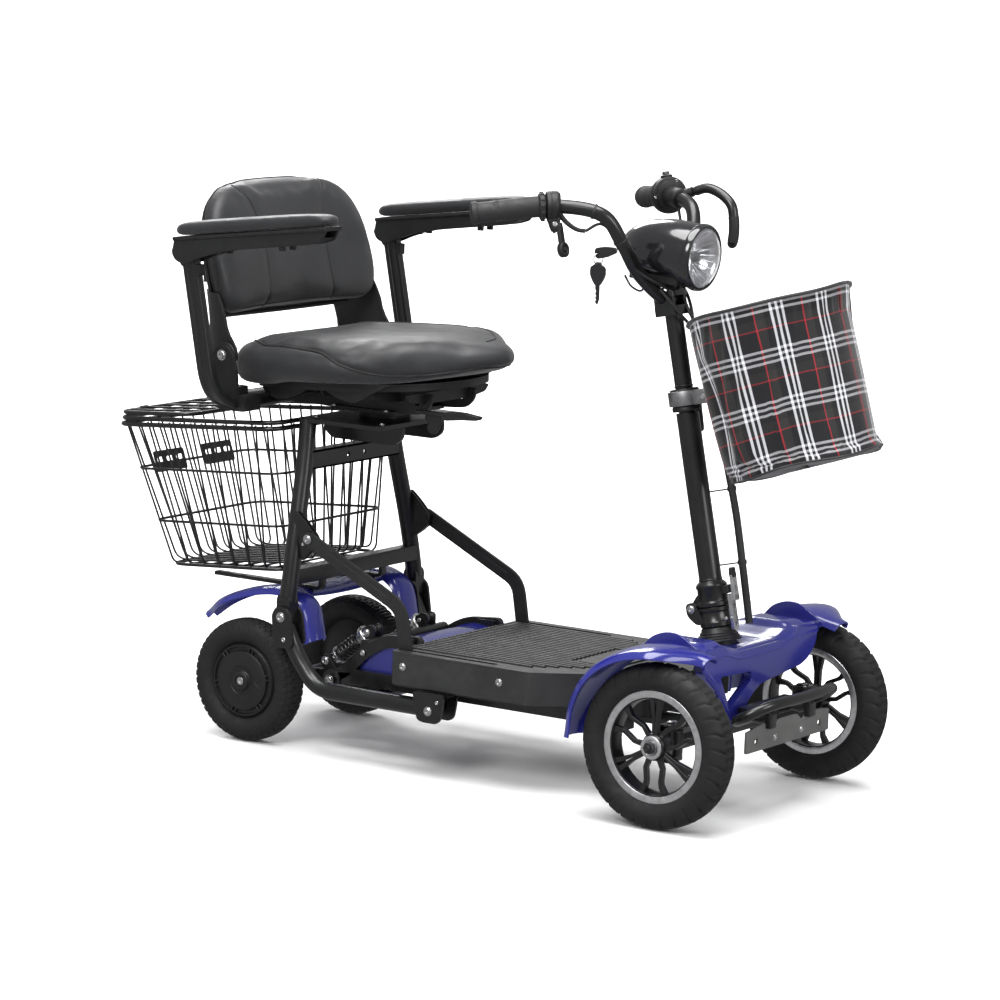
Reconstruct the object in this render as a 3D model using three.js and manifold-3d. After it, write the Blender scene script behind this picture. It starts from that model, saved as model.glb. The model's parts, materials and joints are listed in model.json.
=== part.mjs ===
// Folding four-wheel mobility scooter, in millimetres.
// +X is forward, +Y is the rider's left, +Z is up. Every dimension is taken from the point
// on the ground midway between the axles; the finished object is then centred over the origin.
import * as THREE from 'three';
import { mergeVertices } from 'three/addons/utils/BufferGeometryUtils.js';
import Module from 'manifold-3d';

// ---- driving dimensions -------------------------------------------------------------------------
const WHEELBASE = 842;
const FRONT = { x: WHEELBASE / 2, radius: 127, width: 54, bead: 87, track: 473, kingpinInset: 40 };
const REAR = { x: -WHEELBASE / 2, radius: 101, width: 50, bead: 63, track: 293 };
const DECK = { top: 195, bottom: 142, halfWidth: 187, rear: -112, shoulder: 150, neckX: 235, neckHalf: 125,
  front: 330, wall: 4 };
const STAY_SLOT = { x0: -118, x1: 78, y: 166, width: 10 };
const HOOP = { y: 177, radius: 14, floorZ: 110, pivotX: -29 };
const FOLD = { x: -325, y: 177, z: 222 };
const STAY = { y: 166, thickness: 5, width: 24, top: [-293, 350], bend: [-108, 261], foot: [-92, 166] };
const SWING = { x: -275, z: 116, armY: 100, armWidth: 10 };
const COLUMN = { x: 381, z: 244, lean: 11.8, hingeN: -30, hingeS: 60, lowerRadius: 18, upperRadius: 14,
  collarS: 383 };
const BAR_RADIUS = 11;
const GRIP_RADIUS = 17;
const SWIVEL = { x: -268, z: 546 };
const CUSHION = { bottom: 600, thickness: 66, rear: -452, tilt: 3 };
const ARM = { y: 275, barX: -412, barZ: 564, pivotX: -465, pivotZ: 808, padFront: -176, padWidth: 56 };
const BACK_HINGE = { x: -430, y: 207, z: 640 };
const BASKET = { rearTop: -690, frontTop: -368, halfTop: 165, rearBottom: -602, frontBottom: -368,
  halfBottom: 132,
  topZ: 505, bottomZ: 262, rise: 0.073, wire: 4, rail: 9, lidFront: -535 };
const LINK_GAP = 0.35;
const RIGHT = -1;
const LEFT = 1;

// ---- materials ----------------------------------------------------------------------------------
const paint = (color, roughness, metalness) => new THREE.MeshStandardMaterial({ color, roughness,
  metalness });
const BLACK_PAINT = [0x1b1c1e, 0.45, 0.3];
const BLACK_PLASTIC = [0x1f2022, 0.6, 0.0];
const GREY_PLASTIC = [0x3a3c3f, 0.65, 0.0];
const RUBBER = [0x222224, 0.85, 0.0];
const BLUE = [0x1d22c8, 0.3, 0.4];
const STEEL = [0xb9bcc0, 0.35, 0.9];
const VINYL = [0x2c2d30, 0.6, 0.0];
const PLAID = [0x2a2a30, 0.9, 0.0];
const CLEAR = [0xe8ecef, 0.1, 0.1];

// ---- solid helpers ------------------------------------------------------------------------------
const wasm = await Module();
wasm.setup();

function toSolid(geometry) {
  const bare = geometry.clone();
  bare.deleteAttribute('normal');
  bare.deleteAttribute('uv');
  const merged = mergeVertices(bare.index ? bare : mergeVertices(bare, 1e-4), 1e-4);
  return new wasm.Manifold(new wasm.Mesh({
    numProp: 3,
    vertProperties: new Float32Array(merged.attributes.position.array),
    triVerts: new Uint32Array(merged.index.array),
  }));
}

function toGeometry(solid) {
  const mesh = solid.getMesh();
  const geometry = new THREE.BufferGeometry();
  const positions = new Float32Array(mesh.numVert * 3);
  for (let i = 0; i < mesh.numVert; i += 1) {
    for (let k = 0; k < 3; k += 1) positions[3 * i + k] = mesh.vertProperties[mesh.numProp * i + k];
  }
  geometry.setAttribute('position', new THREE.BufferAttribute(positions, 3));
  geometry.setIndex(new THREE.BufferAttribute(new Uint32Array(mesh.triVerts), 1));
  return geometry;
}

const join = (first, ...rest) => toGeometry(rest.reduce((sum, part) => sum.add(toSolid(part)),
  toSolid(first)));
const cut = (body, ...tools) => toGeometry(tools.reduce((rest, tool) => rest.subtract(toSolid(tool)),
  toSolid(body)));

function addMesh(group, name, geometry, finish) {
  const mesh = new THREE.Mesh(geometry, paint(...finish));
  mesh.name = name;
  group.add(mesh);
  return mesh;
}

// ---- shape helpers ------------------------------------------------------------------------------
const deg = THREE.MathUtils.degToRad;
const v3 = (x, y, z) => new THREE.Vector3(x, y, z);
const sideName = (side) => (side === LEFT ? 'left' : 'right');

function box(x0, x1, y0, y1, z0, z1) {
  const geometry = new THREE.BoxGeometry(x1 - x0, y1 - y0, z1 - z0);
  return geometry.translate((x0 + x1) / 2, (y0 + y1) / 2, (z0 + z1) / 2);
}

function rod(from, to, radius, sides = 10) {
  const axis = v3().subVectors(to, from);
  const geometry = new THREE.CylinderGeometry(radius, radius, axis.length(), sides);
  geometry.applyQuaternion(new THREE.Quaternion().setFromUnitVectors(v3(0, 1, 0),
    axis.clone().normalize()));
  const middle = v3().addVectors(from, to).multiplyScalar(0.5);
  return geometry.translate(middle.x, middle.y, middle.z);
}

function ngon(radius, sides) {
  const shape = new THREE.Shape();
  for (let i = 0; i < sides; i += 1) {
    const angle = (2 * Math.PI * i) / sides;
    if (i === 0) shape.moveTo(radius * Math.cos(angle), radius * Math.sin(angle));
    else shape.lineTo(radius * Math.cos(angle), radius * Math.sin(angle));
  }
  return shape;
}

function sweep(curve, section, steps) {
  return new THREE.ExtrudeGeometry(section, { steps, extrudePath: curve, bevelEnabled: false });
}

const spline = (points, closed = false) => new THREE.CatmullRomCurve3(points, closed, 'centripetal');

// A polyline of straight runs whose corners are rounded to the given radius.
function bentPath(points, bendRadius) {
  const path = new THREE.CurvePath();
  let start = points[0];
  for (let i = 1; i < points.length - 1; i += 1) {
    const back = v3().subVectors(points[i - 1], points[i]);
    const ahead = v3().subVectors(points[i + 1], points[i]);
    const reach = Math.min(bendRadius, back.length() * 0.48, ahead.length() * 0.48);
    const enter = points[i].clone().add(back.setLength(reach));
    const leave = points[i].clone().add(ahead.setLength(reach));
    path.add(new THREE.LineCurve3(start, enter));
    path.add(new THREE.QuadraticBezierCurve3(enter, points[i], leave));
    start = leave;
  }
  path.add(new THREE.LineCurve3(start, points[points.length - 1]));
  return path;
}

function outline(points) {
  return new THREE.Shape(points.map(([a, b]) => new THREE.Vector2(a, b)));
}

// Plates cut from a flat outline: XY outlines rise along Z, XZ outlines are centred on a Y,
// and YZ outlines are centred on an X.
function plateXY(shape, z0, thickness) {
  return new THREE.ExtrudeGeometry(shape, { depth: thickness, bevelEnabled: false }).translate(0, 0, z0);
}

function plateXZ(shape, y, thickness) {
  const geometry = new THREE.ExtrudeGeometry(shape,
    { depth: thickness, bevelEnabled: false, curveSegments: 6 });
  return geometry.rotateX(Math.PI / 2).translate(0, y + thickness / 2, 0);
}

function plateYZ(shape, x, thickness) {
  const geometry = new THREE.ExtrudeGeometry(shape,
    { depth: thickness, bevelEnabled: false, curveSegments: 6 });
  const turn = new THREE.Matrix4().makeBasis(v3(0, 1, 0), v3(0, 0, 1), v3(1, 0, 0));
  return geometry.applyMatrix4(turn).translate(x - thickness / 2, 0, 0);
}

// A flat bar along a polyline of [x, z] points, with round ends.
function flatBar(points, width, y, thickness) {
  const pieces = [];
  points.forEach(([x, z], i) => {
    pieces.push(rod(v3(x, y - thickness / 2, z), v3(x, y + thickness / 2, z), width / 2, 10));
    if (i === 0) return;
    const [px, pz] = points[i - 1];
    const length = Math.hypot(x - px, z - pz);
    const bar = new THREE.BoxGeometry(length, thickness, width);
    bar.rotateY(-Math.atan2(z - pz, x - px)).translate((x + px) / 2, y, (z + pz) / 2);
    pieces.push(bar);
  });
  return join(...pieces);
}

// A ring or disc turned about the Y axis from a closed [radius, y] profile.
function turned(profile, segments) {
  const points = profile.map(([r, y]) => new THREE.Vector2(r, y));
  points.push(points[0].clone());
  return new THREE.LatheGeometry(points, segments);
}

function tyreProfile(wheel) {
  const crown = wheel.radius;
  const half = wheel.width / 2;
  const height = crown - wheel.bead;
  return [
    [wheel.bead, -half * 0.62], [wheel.bead + height * 0.3, -half * 0.92], [crown - height * 0.42, -half],
    [crown - height * 0.14, -half * 0.72], [crown, -half * 0.3], [crown, half * 0.3],
    [crown - height * 0.14, half * 0.72], [crown - height * 0.42, half],
      [wheel.bead + height * 0.3, half * 0.92],
    [wheel.bead, half * 0.62],
  ];
}

// ---- wheels -------------------------------------------------------------------------------------
const RIM = { lip: 86, barrel: 74, hub: 20, bore: 8.4, half: 15, spokes: 9 };

function frontRim(side) {
  const shell = turned([
    [RIM.barrel, -RIM.half], [RIM.lip, -RIM.half], [RIM.lip - 4, 0], [RIM.lip, RIM.half],
      [RIM.barrel, RIM.half + 4],
  ], 24);
  const hub = turned([[RIM.bore, -12], [RIM.hub, -12], [RIM.hub, 22], [RIM.bore, 22]], 12);
  const pieces = [shell, hub];
  for (let i = 0; i < RIM.spokes; i += 1) {
    const straight = i % 3 === 0;
    pieces.push(spoke((360 / RIM.spokes) * i, straight ? 10 : 7));
  }
  const rim = join(...pieces);
  return side === RIGHT ? rim.rotateZ(Math.PI) : rim;
}

function spoke(angle, width) {
  const reach = RIM.barrel + 3 - RIM.hub + 3;
  const bar = new THREE.BoxGeometry(width, 8, reach);
  bar.translate(0, 8, RIM.hub - 3 + reach / 2).rotateY(deg(angle));
  return bar;
}

function addFrontWheel(group, side) {
  const wheel = new THREE.Group();
  wheel.position.set(FRONT.x, (side * FRONT.track) / 2, FRONT.radius);
  addMesh(wheel, `front_tyre_${sideName(side)}`, turned(tyreProfile(FRONT), 24), RUBBER);
  addMesh(wheel, `front_rim_${sideName(side)}`, frontRim(side), STEEL);
  group.add(wheel);
}

function addRearWheel(group, side) {
  const wheel = new THREE.Group();
  wheel.position.set(REAR.x, (side * REAR.track) / 2, REAR.radius);
  const motor = new THREE.LatheGeometry([
    [0, -20], [46, -20], [62.6, -14], [62.6, 14], [58, 19], [22, 22], [14, 22], [14, 27], [0, 27],
  ].map(([r, y]) => new THREE.Vector2(r, y)), 24);
  if (side === RIGHT) motor.rotateX(Math.PI);
  addMesh(wheel, `rear_tyre_${sideName(side)}`, turned(tyreProfile(REAR), 24), RUBBER);
  addMesh(wheel, `rear_hub_motor_${sideName(side)}`, motor, BLACK_PLASTIC);
  group.add(wheel);
}

// ---- front axle, knuckles and front bodywork ----------------------------------------------------
const AXLE = { halfThickness: 19, bossRadius: 16, pinRadius: 10, forkGap: 1, plate: 8 };

function addFrontAxle(group) {
  const kingpinY = FRONT.track / 2 - FRONT.kingpinInset;
  const pieces = [box(FRONT.x - 13, FRONT.x + 13, -kingpinY, kingpinY, FRONT.radius - 12,
    FRONT.radius + 12)];
  const holes = [];
  for (const side of [RIGHT, LEFT]) {
    const low = v3(FRONT.x, side * kingpinY, FRONT.radius - AXLE.halfThickness);
    const high = v3(FRONT.x, side * kingpinY, FRONT.radius + AXLE.halfThickness);
    pieces.push(rod(low, high, AXLE.bossRadius, 12));
    holes.push(rod(low.clone().setZ(0), high.clone().setZ(300), AXLE.pinRadius + LINK_GAP + 0.4, 12));
  }
  pieces.push(box(DECK.neckX, FRONT.x, -60, -40, FRONT.radius - 12, FRONT.radius + 8));
  pieces.push(box(DECK.neckX, FRONT.x, 40, 60, FRONT.radius - 12, FRONT.radius + 8));
  addMesh(group, 'front_axle_beam', cut(join(...pieces), ...holes), BLACK_PAINT);
}

function addKnuckle(group, side) {
  const kingpinY = FRONT.track / 2 - FRONT.kingpinInset;
  const top = FRONT.radius + AXLE.halfThickness + AXLE.forkGap;
  const bottom = FRONT.radius - AXLE.halfThickness - AXLE.forkGap;
  const innerY = kingpinY - 14;
  const outerY = kingpinY + 27;
  const span = (z0, z1) => box(FRONT.x - 13, FRONT.x + 13,
    Math.min(side * innerY, side * outerY), Math.max(side * innerY, side * outerY), z0, z1);
  const wallY = [side * (kingpinY + 19), side * outerY].sort((a, b) => a - b);
  const wheelY = side * (FRONT.track / 2);
  addMesh(group, `front_knuckle_${sideName(side)}`, join(
    span(top, top + AXLE.plate),
    span(bottom - AXLE.plate, bottom),
    box(FRONT.x - 13, FRONT.x + 13, wallY[0], wallY[1], bottom - AXLE.plate, top + AXLE.plate),
    rod(v3(FRONT.x, side * kingpinY, bottom - 2), v3(FRONT.x, side * kingpinY, top + 2), AXLE.pinRadius,
      12),
    rod(v3(FRONT.x, side * (outerY - 2), FRONT.radius), v3(FRONT.x, wheelY + side * 24, FRONT.radius), 8,
      14),
    rod(v3(FRONT.x, wheelY + side * 23, FRONT.radius), v3(FRONT.x, wheelY + side * 31, FRONT.radius), 13,
      14),
    box(FRONT.x - 62, FRONT.x - 8, Math.min(side * innerY, side * (innerY + 14)),
      Math.max(side * innerY, side * (innerY + 14)), bottom - AXLE.plate, bottom),
  ), BLACK_PAINT);
}

// A mudguard: a band of sheet swept along [x, z] points, between two Y values.
function guard(points, y0, y1, sheet = 4) {
  const curve = spline(points.map(([x, z]) => v3(x, (y0 + y1) / 2, z)));
  const half = Math.abs(y1 - y0) / 2;
  const section = outline([[-half, -sheet / 2], [half, -sheet / 2], [half, sheet / 2], [-half, sheet / 2]]);
  return sweep(curve, section, 12);
}

const FRONT_GUARD = [[264, 122], [275, 172], [312, 228], [360, 257], [421, 270], [486, 257]];
const REAR_GUARD = [[-526, 189], [-488, 216], [-441, 237], [-390, 250], [-350, 251], [-316, 232],
  [-300, 176]];

function addFrontBodywork(group) {
  for (const side of [RIGHT, LEFT]) {
    const inner = side * (FRONT.track / 2 - 58);
    const outer = side * (FRONT.track / 2 + 44);
    const fin = plateXZ(outline([[352, 252], [374, 283], [410, 294], [446, 283], [466, 262], [421, 268]]),
      inner + side * 2, 5);
    addMesh(group, `front_fender_${sideName(side)}`, join(guard(FRONT_GUARD, inner, outer), fin), BLUE);
  }
  const saddle = outline([
    [-172, 262], [-150, 226], [-100, 218], [-26, 136], [26, 136], [100, 218], [150, 226], [172, 262],
      [90, 272], [-90, 272],
  ]);
  saddle.holes.push(new THREE.Path([[-72, 214], [-14, 152],
    [-14, 214]].map(([a, b]) => new THREE.Vector2(a, b))));
  saddle.holes.push(new THREE.Path([[72, 214], [14, 152],
    [14, 214]].map(([a, b]) => new THREE.Vector2(a, b))));
  const hood = outline([[330, 205], [340, 250], [366, 262], [430, 262], [450, 240], [450, 216]]);
  const headBore = rod(columnPoint(0, 0, -60), columnPoint(0, 0, 60), 26, 16);
  const headFlare = rod(columnPoint(0, 0, 3), columnPoint(0, 0, 60), 36.6, 20);
  addMesh(group, 'front_fairing', cut(join(plateYZ(saddle, 447, 20), plateXZ(hood, 0, 216)), headBore,
    headFlare), BLUE);
  const loop = [
    [476, 112, 172], [510, 126, 170], [536, 92, 168], [543, 0, 166], [536, -92, 168], [510, -126, 170],
      [476, -112, 172],
    [470, 0, 172],
  ].map(([x, y, z]) => v3(x, y, z));
  addMesh(group, 'front_bumper', join(
    sweep(spline(loop, true), ngon(9, 6), 20),
    box(512, 518, -122, 122, 128, 152),
    box(460, 514, -70, -50, 150, 156),
    box(460, 514, 50, 70, 150, 156),
    box(507, 518, -70, -50, 140, 164),
    box(507, 518, 50, 70, 140, 164),
    box(460, 476, -70, 70, 150, 166),
  ), BLACK_PAINT);
}

// ---- deck, chassis and batteries ----------------------------------------------------------------
function deckOutline(inset) {
  const half = DECK.halfWidth - inset;
  const neck = DECK.neckHalf - inset;
  const shoulder = DECK.shoulder - inset * 0.4;
  return outline([
    [DECK.rear + inset, -half], [shoulder, -half], [DECK.neckX - inset * 0.4, -neck],
      [DECK.front - inset, -neck],
    [DECK.front - inset, neck], [DECK.neckX - inset * 0.4, neck], [shoulder, half],
      [DECK.rear + inset, half],
  ]);
}

function addDeck(group) {
  const height = DECK.top - DECK.bottom;
  const shell = toSolid(plateXY(deckOutline(0), DECK.bottom, height));
  const hollow = toSolid(plateXY(deckOutline(DECK.wall), DECK.bottom - 1, height - DECK.wall + 1));
  const slots = [RIGHT, LEFT].map((side) => toSolid(box(STAY_SLOT.x0, STAY_SLOT.x1,
    side * STAY_SLOT.y - STAY_SLOT.width / 2, side * STAY_SLOT.y + STAY_SLOT.width / 2, DECK.top - 20,
      DECK.top + 1)));
  let top = shell.subtract(hollow);
  slots.forEach((slot) => { top = top.subtract(slot); });
  for (let y = -135; y <= 135; y += 30) {
    if (Math.abs(y) < 80) top = top.add(toSolid(box(-95, 196, y - 4, y + 4, DECK.top - 0.5, DECK.top + 3)));
    else top = top.add(toSolid(box(-95, 140, y - 4, y + 4, DECK.top - 0.5, DECK.top + 3)));
  }
  addMesh(group, 'deck_top', toGeometry(top), GREY_PLASTIC);
  addMesh(group, 'battery_pack', box(-90, 200, -72, 72, DECK.bottom + 0.4, DECK.top - 8), BLACK_PLASTIC);
}

const CHEEK = { y: 114, thickness: 8 };

function addChassis(group) {
  const railTop = DECK.bottom - 3;
  const pieces = [plateXY(deckOutline(0), railTop - 0.5, 3)];
  for (const side of [RIGHT, LEFT]) {
    const y = side * CHEEK.y;
    pieces.push(box(SWING.x + 40, DECK.neckX + 60, y - 10, y + 10, railTop - 24, railTop));
    const cheek = outline([
      [SWING.x - 14, SWING.z - 12], [SWING.x + 60, railTop - 24], [-112.6, railTop - 24], [-112.6, 199],
      [-168, 210], [-214, 198], [-246, 170], [SWING.x - 14, SWING.z + 14],
    ]);
    pieces.push(plateXZ(cheek, y, CHEEK.thickness));
    const bracket = outline([[-60, railTop], [-56, 118], [-48, 92], [-10, 92], [-4, 118], [0, railTop]]);
    const bracketY = side * (HOOP.y - HOOP.radius - 4);
    pieces.push(plateXZ(bracket, bracketY, 6));
    pieces.push(box(-60, 0, Math.min(side * 100, bracketY), Math.max(side * 100, bracketY), railTop - 6,
      railTop));
  }
  pieces.push(box(-20, 4, -CHEEK.y, CHEEK.y, railTop - 24, railTop - 4));
  pieces.push(box(180, 204, -CHEEK.y, CHEEK.y, railTop - 24, railTop - 4));
  pieces.push(box(-226, -206, -CHEEK.y, CHEEK.y, 168, 188));
  const pinHoles = rod(v3(SWING.x, -200, SWING.z), v3(SWING.x, 200, SWING.z), 8 + LINK_GAP, 16);
  addMesh(group, 'chassis_frame', cut(join(...pieces), pinHoles), BLACK_PAINT);

  const hoopPieces = [];
  for (const side of [RIGHT, LEFT]) {
    const y = side * HOOP.y;
    const path = bentPath([
      v3(HOOP.pivotX, y, HOOP.floorZ), v3(-262, y, HOOP.floorZ), v3(-304, y, 160),
        v3(FOLD.x, y, FOLD.z - 18),
    ], 60);
    hoopPieces.push(sweep(path, ngon(HOOP.radius, 8), 12));
    for (const cheek of [-1, 1]) {
      const plate = outline([
        [FOLD.x - 17, FOLD.z + 6], [FOLD.x - 12, FOLD.z - 40], [FOLD.x + 26, FOLD.z - 44],
          [FOLD.x + 18, FOLD.z + 6],
        [FOLD.x + 8, FOLD.z + 17], [FOLD.x - 8, FOLD.z + 17],
      ]);
      hoopPieces.push(plateXZ(plate, y + cheek * 15.5, 5));
    }
    hoopPieces.push(rod(v3(HOOP.pivotX, side * (HOOP.y - 14), HOOP.floorZ),
      v3(HOOP.pivotX, side * (HOOP.y + 19), HOOP.floorZ), 8, 12));
  }
  hoopPieces.push(rod(v3(-180, -HOOP.y, HOOP.floorZ - 6), v3(-180, HOOP.y, HOOP.floorZ - 6), 9, 10));
  addMesh(group, 'side_hoops', join(...hoopPieces), BLACK_PAINT);
}

// ---- rear bodywork and suspension ---------------------------------------------------------------
function addRear(group) {
  const saddle = [];
  for (const side of [RIGHT, LEFT]) {
    saddle.push(guard(REAR_GUARD, side * 102, side * 156));
  }
  saddle.push(box(-396, -342, -104, 104, 246.5, 250.5));
  saddle.push(box(-396, -391, -104, 104, 234, 250.5));
  addMesh(group, 'rear_fender', join(...saddle), BLUE);

  const hood = outline([[-112.6, 150], [-112.6, 190], [-176, 192], [-205, 160], [-205, 150]]);
  addMesh(group, 'rear_fairing', cut(plateXZ(hood, 0, 212), box(-202, -116, -100, 100, 100, 184)), BLUE);

  const arms = [];
  for (const side of [RIGHT, LEFT]) {
    const y = side * SWING.armY;
    arms.push(flatBar([[SWING.x, SWING.z], [-350, 112], [REAR.x, REAR.radius]], 26, y, SWING.armWidth));
    arms.push(flatBar([[SWING.x, SWING.z], [-300, 142]], 20, y, SWING.armWidth));
    arms.push(rod(v3(REAR.x, y, REAR.radius), v3(REAR.x, side * (REAR.track / 2 - 20.6), REAR.radius), 9,
      12));
    arms.push(rod(v3(-300, side * 97, 142), v3(-300, side * 90.4, 142), 6, 10));
  }
  arms.push(rod(v3(SWING.x, -128, SWING.z), v3(SWING.x, 128, SWING.z), 8, 12));
  arms.push(rod(v3(-350, -SWING.armY, 112), v3(-350, SWING.armY, 112), 10, 12));
  addMesh(group, 'rear_swing_arm', join(...arms), BLACK_PAINT);
  for (const side of [RIGHT, LEFT]) {
    const y = side * 75;
    addMesh(group, `shock_absorber_${sideName(side)}`, join(
      rod(v3(-300, y, 142), v3(-292, y, 148), 8, 12),
      rod(v3(-293, y, 147.5), v3(-240, y, 188), 15, 14),
      rod(v3(-241, y, 187.3), v3(-229, y, 196.5), 8, 12),
    ), STEEL);
  }
}

// ---- steering column, in its own leaning frame: n forward, y left, s up the column --------------
const columnFrame = new THREE.Matrix4().makeRotationY(-deg(COLUMN.lean)).setPosition(COLUMN.x, 0, COLUMN.z);

function columnPoint(n, y, s) {
  return v3(n, y, s).applyMatrix4(columnFrame);
}

const BAR_STEPS = 36;
const BAR_PATH = [
  [-175, 245, 712], [-73, 160, 704], [-20, 128, 680], [-10, 102, 634], [-15, 58, 584], [-4, 0, 540],
];

function barCurve() {
  const left = BAR_PATH.map(([n, y, s]) => v3(n, y, s));
  const right = BAR_PATH.slice(0, -1).reverse().map(([n, y, s]) => v3(n, -y, s));
  return spline([...left, ...right]);
}

function addColumn(group) {
  const column = new THREE.Group();
  column.applyMatrix4(columnFrame);
  group.add(column);
  const hinge = { n: COLUMN.hingeN, s: COLUMN.hingeS };

  const head = new THREE.LatheGeometry([
    [0, -26], [22, -26], [25.5, -16], [25.5, 4], [36, 6], [30, 18], [24, 26], [24, 28], [0, 28],
  ].map(([r, y]) => new THREE.Vector2(r, y)), 20).rotateX(Math.PI / 2);
  addMesh(column, 'steering_head', head, BLACK_PLASTIC);

  const lugs = [-1, 1].map((side) => rod(v3(hinge.n, side * 12.4, hinge.s), v3(hinge.n, side * 22, hinge.s),
    9, 14));
  const webs = [-1, 1].map((side) => box(hinge.n - 6, hinge.n + 14, side > 0 ? 12.4 : -22,
    side > 0 ? 22 : -12.4, 36, hinge.s));
  const knuckleRoom = rod(v3(hinge.n, -12.2, hinge.s), v3(hinge.n, 12.2, hinge.s), 9.6, 14);
  addMesh(column, 'fold_joint_base', cut(join(
    rod(v3(0, 0, 28.4), v3(0, 0, hinge.s - LINK_GAP), 24, 18), ...lugs, ...webs,
    box(18, 30, -9, 9, 34, 46),
  ), knuckleRoom), BLACK_PAINT);

  addMesh(column, 'column_lower_tube', join(
    rod(v3(0, 0, hinge.s + LINK_GAP), v3(0, 0, 96), 24, 18),
    rod(v3(0, 0, 90), v3(0, 0, COLUMN.collarS + 18), COLUMN.lowerRadius, 16),
    rod(v3(0, 0, COLUMN.collarS - 16), v3(0, 0, COLUMN.collarS + 19), 23, 16),
    rod(v3(hinge.n, -12, hinge.s), v3(hinge.n, 12, hinge.s), 9, 14),
    box(hinge.n, 0, -12, 12, hinge.s + LINK_GAP, 80),
    box(18, 34, -8, 8, 78, 92),
  ), BLACK_PAINT);
  addMesh(column, 'fold_latch_lever', join(
    box(30.4, 36, -7.6, 7.6, 20, 77.6),
    box(34.4, 44, -7.6, 7.6, 66, 77.6),
    box(38, 44, -7.6, 7.6, 66, 118),
  ), STEEL);
  addMesh(column, 'collar_lever', join(
    rod(v3(0, 23.4, COLUMN.collarS), v3(0, 36, COLUMN.collarS), 7, 12),
    box(-6, 6, 30, 36, COLUMN.collarS - 52, COLUMN.collarS),
  ), BLACK_PLASTIC);

  const bar = sweep(barCurve(), ngon(BAR_RADIUS, 8), BAR_STEPS);
  const stem = join(
    rod(v3(0, 0, COLUMN.collarS + 19.4), v3(0, 0, 520), COLUMN.upperRadius, 14),
    box(-24, 18, -24, 24, 516, 555),
  );
  addMesh(column, 'column_upper_tube', cut(stem, sweep(barCurve(), ngon(BAR_RADIUS + LINK_GAP, 8),
    BAR_STEPS)), BLACK_PAINT);
  addMesh(column, 'handlebar', bar, BLACK_PAINT);
  addControls(column);
  addHeadlight(column);
  addFrontBasket(column);
  addCables(column);
}

const GRIP = { length: 108, proud: 6 };

function addControls(column) {
  const curve = barCurve();
  const barLength = curve.getLength();
  for (const side of [RIGHT, LEFT]) {
    const at = (distance) => {
      const point = curve.getPointAt(distance / barLength);
      return v3(point.x, side * point.y, point.z);
    };
    const end = at(0);
    const seat = at(GRIP.length);
    const inward = v3().subVectors(seat, at(GRIP.length - 6)).normalize();
    const along = (distance) => seat.clone().addScaledVector(inward, distance);
    const outward = v3().subVectors(end, at(20)).normalize();
    const tip = end.clone().addScaledVector(outward, GRIP.proud);
    const grip = join(rod(tip, at(GRIP.length - 5), GRIP_RADIUS, 12),
      rod(along(-8), along(0), GRIP_RADIUS + 4, 12));
    const cavity = sweep(curve, ngon(BAR_RADIUS + LINK_GAP, 8), BAR_STEPS);
    addMesh(column, `hand_grip_${sideName(side)}`, cut(grip, cavity), RUBBER);

    const clamp = [rod(along(0.6), along(22), 24, 16)];
    if (side === LEFT) clamp.push(rod(along(5), along(18), 30, 14), ...brakePerch(at));
    addMesh(column, side === RIGHT ? 'throttle_housing' : 'left_switch_housing',
      cut(join(...clamp), cavity), BLACK_PLASTIC);
  }
  const grip = curve.getPointAt((GRIP.length + 12) / barLength);
  const clampR = v3(grip.x, -grip.y, grip.z);
  addMesh(column, 'throttle_paddle', join(
    rod(v3(clampR.x + 3, clampR.y, clampR.z - 68), v3(clampR.x + 12, clampR.y, clampR.z - 68), 12, 16),
    box(clampR.x + 3, clampR.x + 10, clampR.y - 7, clampR.y + 7, clampR.z - 66, clampR.z - 26),
  ), BLACK_PLASTIC);
  addMesh(column, 'horn_button', rod(v3(grip.x, grip.y, grip.z + 33), v3(grip.x, grip.y, grip.z + 38), 6,
    10), BLACK_PLASTIC);

  const root = curve.getPointAt((GRIP.length + PERCH.along) / barLength);
  const leverPath = [
    [0, 0, 0], [22, 5, 2], [45, 6, -10], [62, 5, -30],
    [64, 4, -50], [60, 4, -76], [52, 4, -97],
  ];
  const lever = spline(leverPath
    .map(([n, y, s]) => v3(root.x + PERCH.reach + 3 + n, root.y + 6 + y, root.z + 6 + s)));
  addMesh(column, 'brake_lever', sweep(lever, ngon(7, 8), 12), BLACK_PAINT);
}

const PERCH = { along: 46, reach: 24 };

// The clamp that carries the brake lever, one with the left switch housing.
function brakePerch(at) {
  const root = at(GRIP.length + PERCH.along);
  return [
    rod(at(GRIP.length + 19), at(GRIP.length + PERCH.along + 10), 16, 14),
    rod(v3(root.x + 6, root.y + 2, root.z + 2), v3(root.x + PERCH.reach, root.y + 6, root.z + 6), 8, 10),
  ];
}

const POD = { tail: [-72, 636], lens: [70, 596], radius: 52 };

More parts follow.
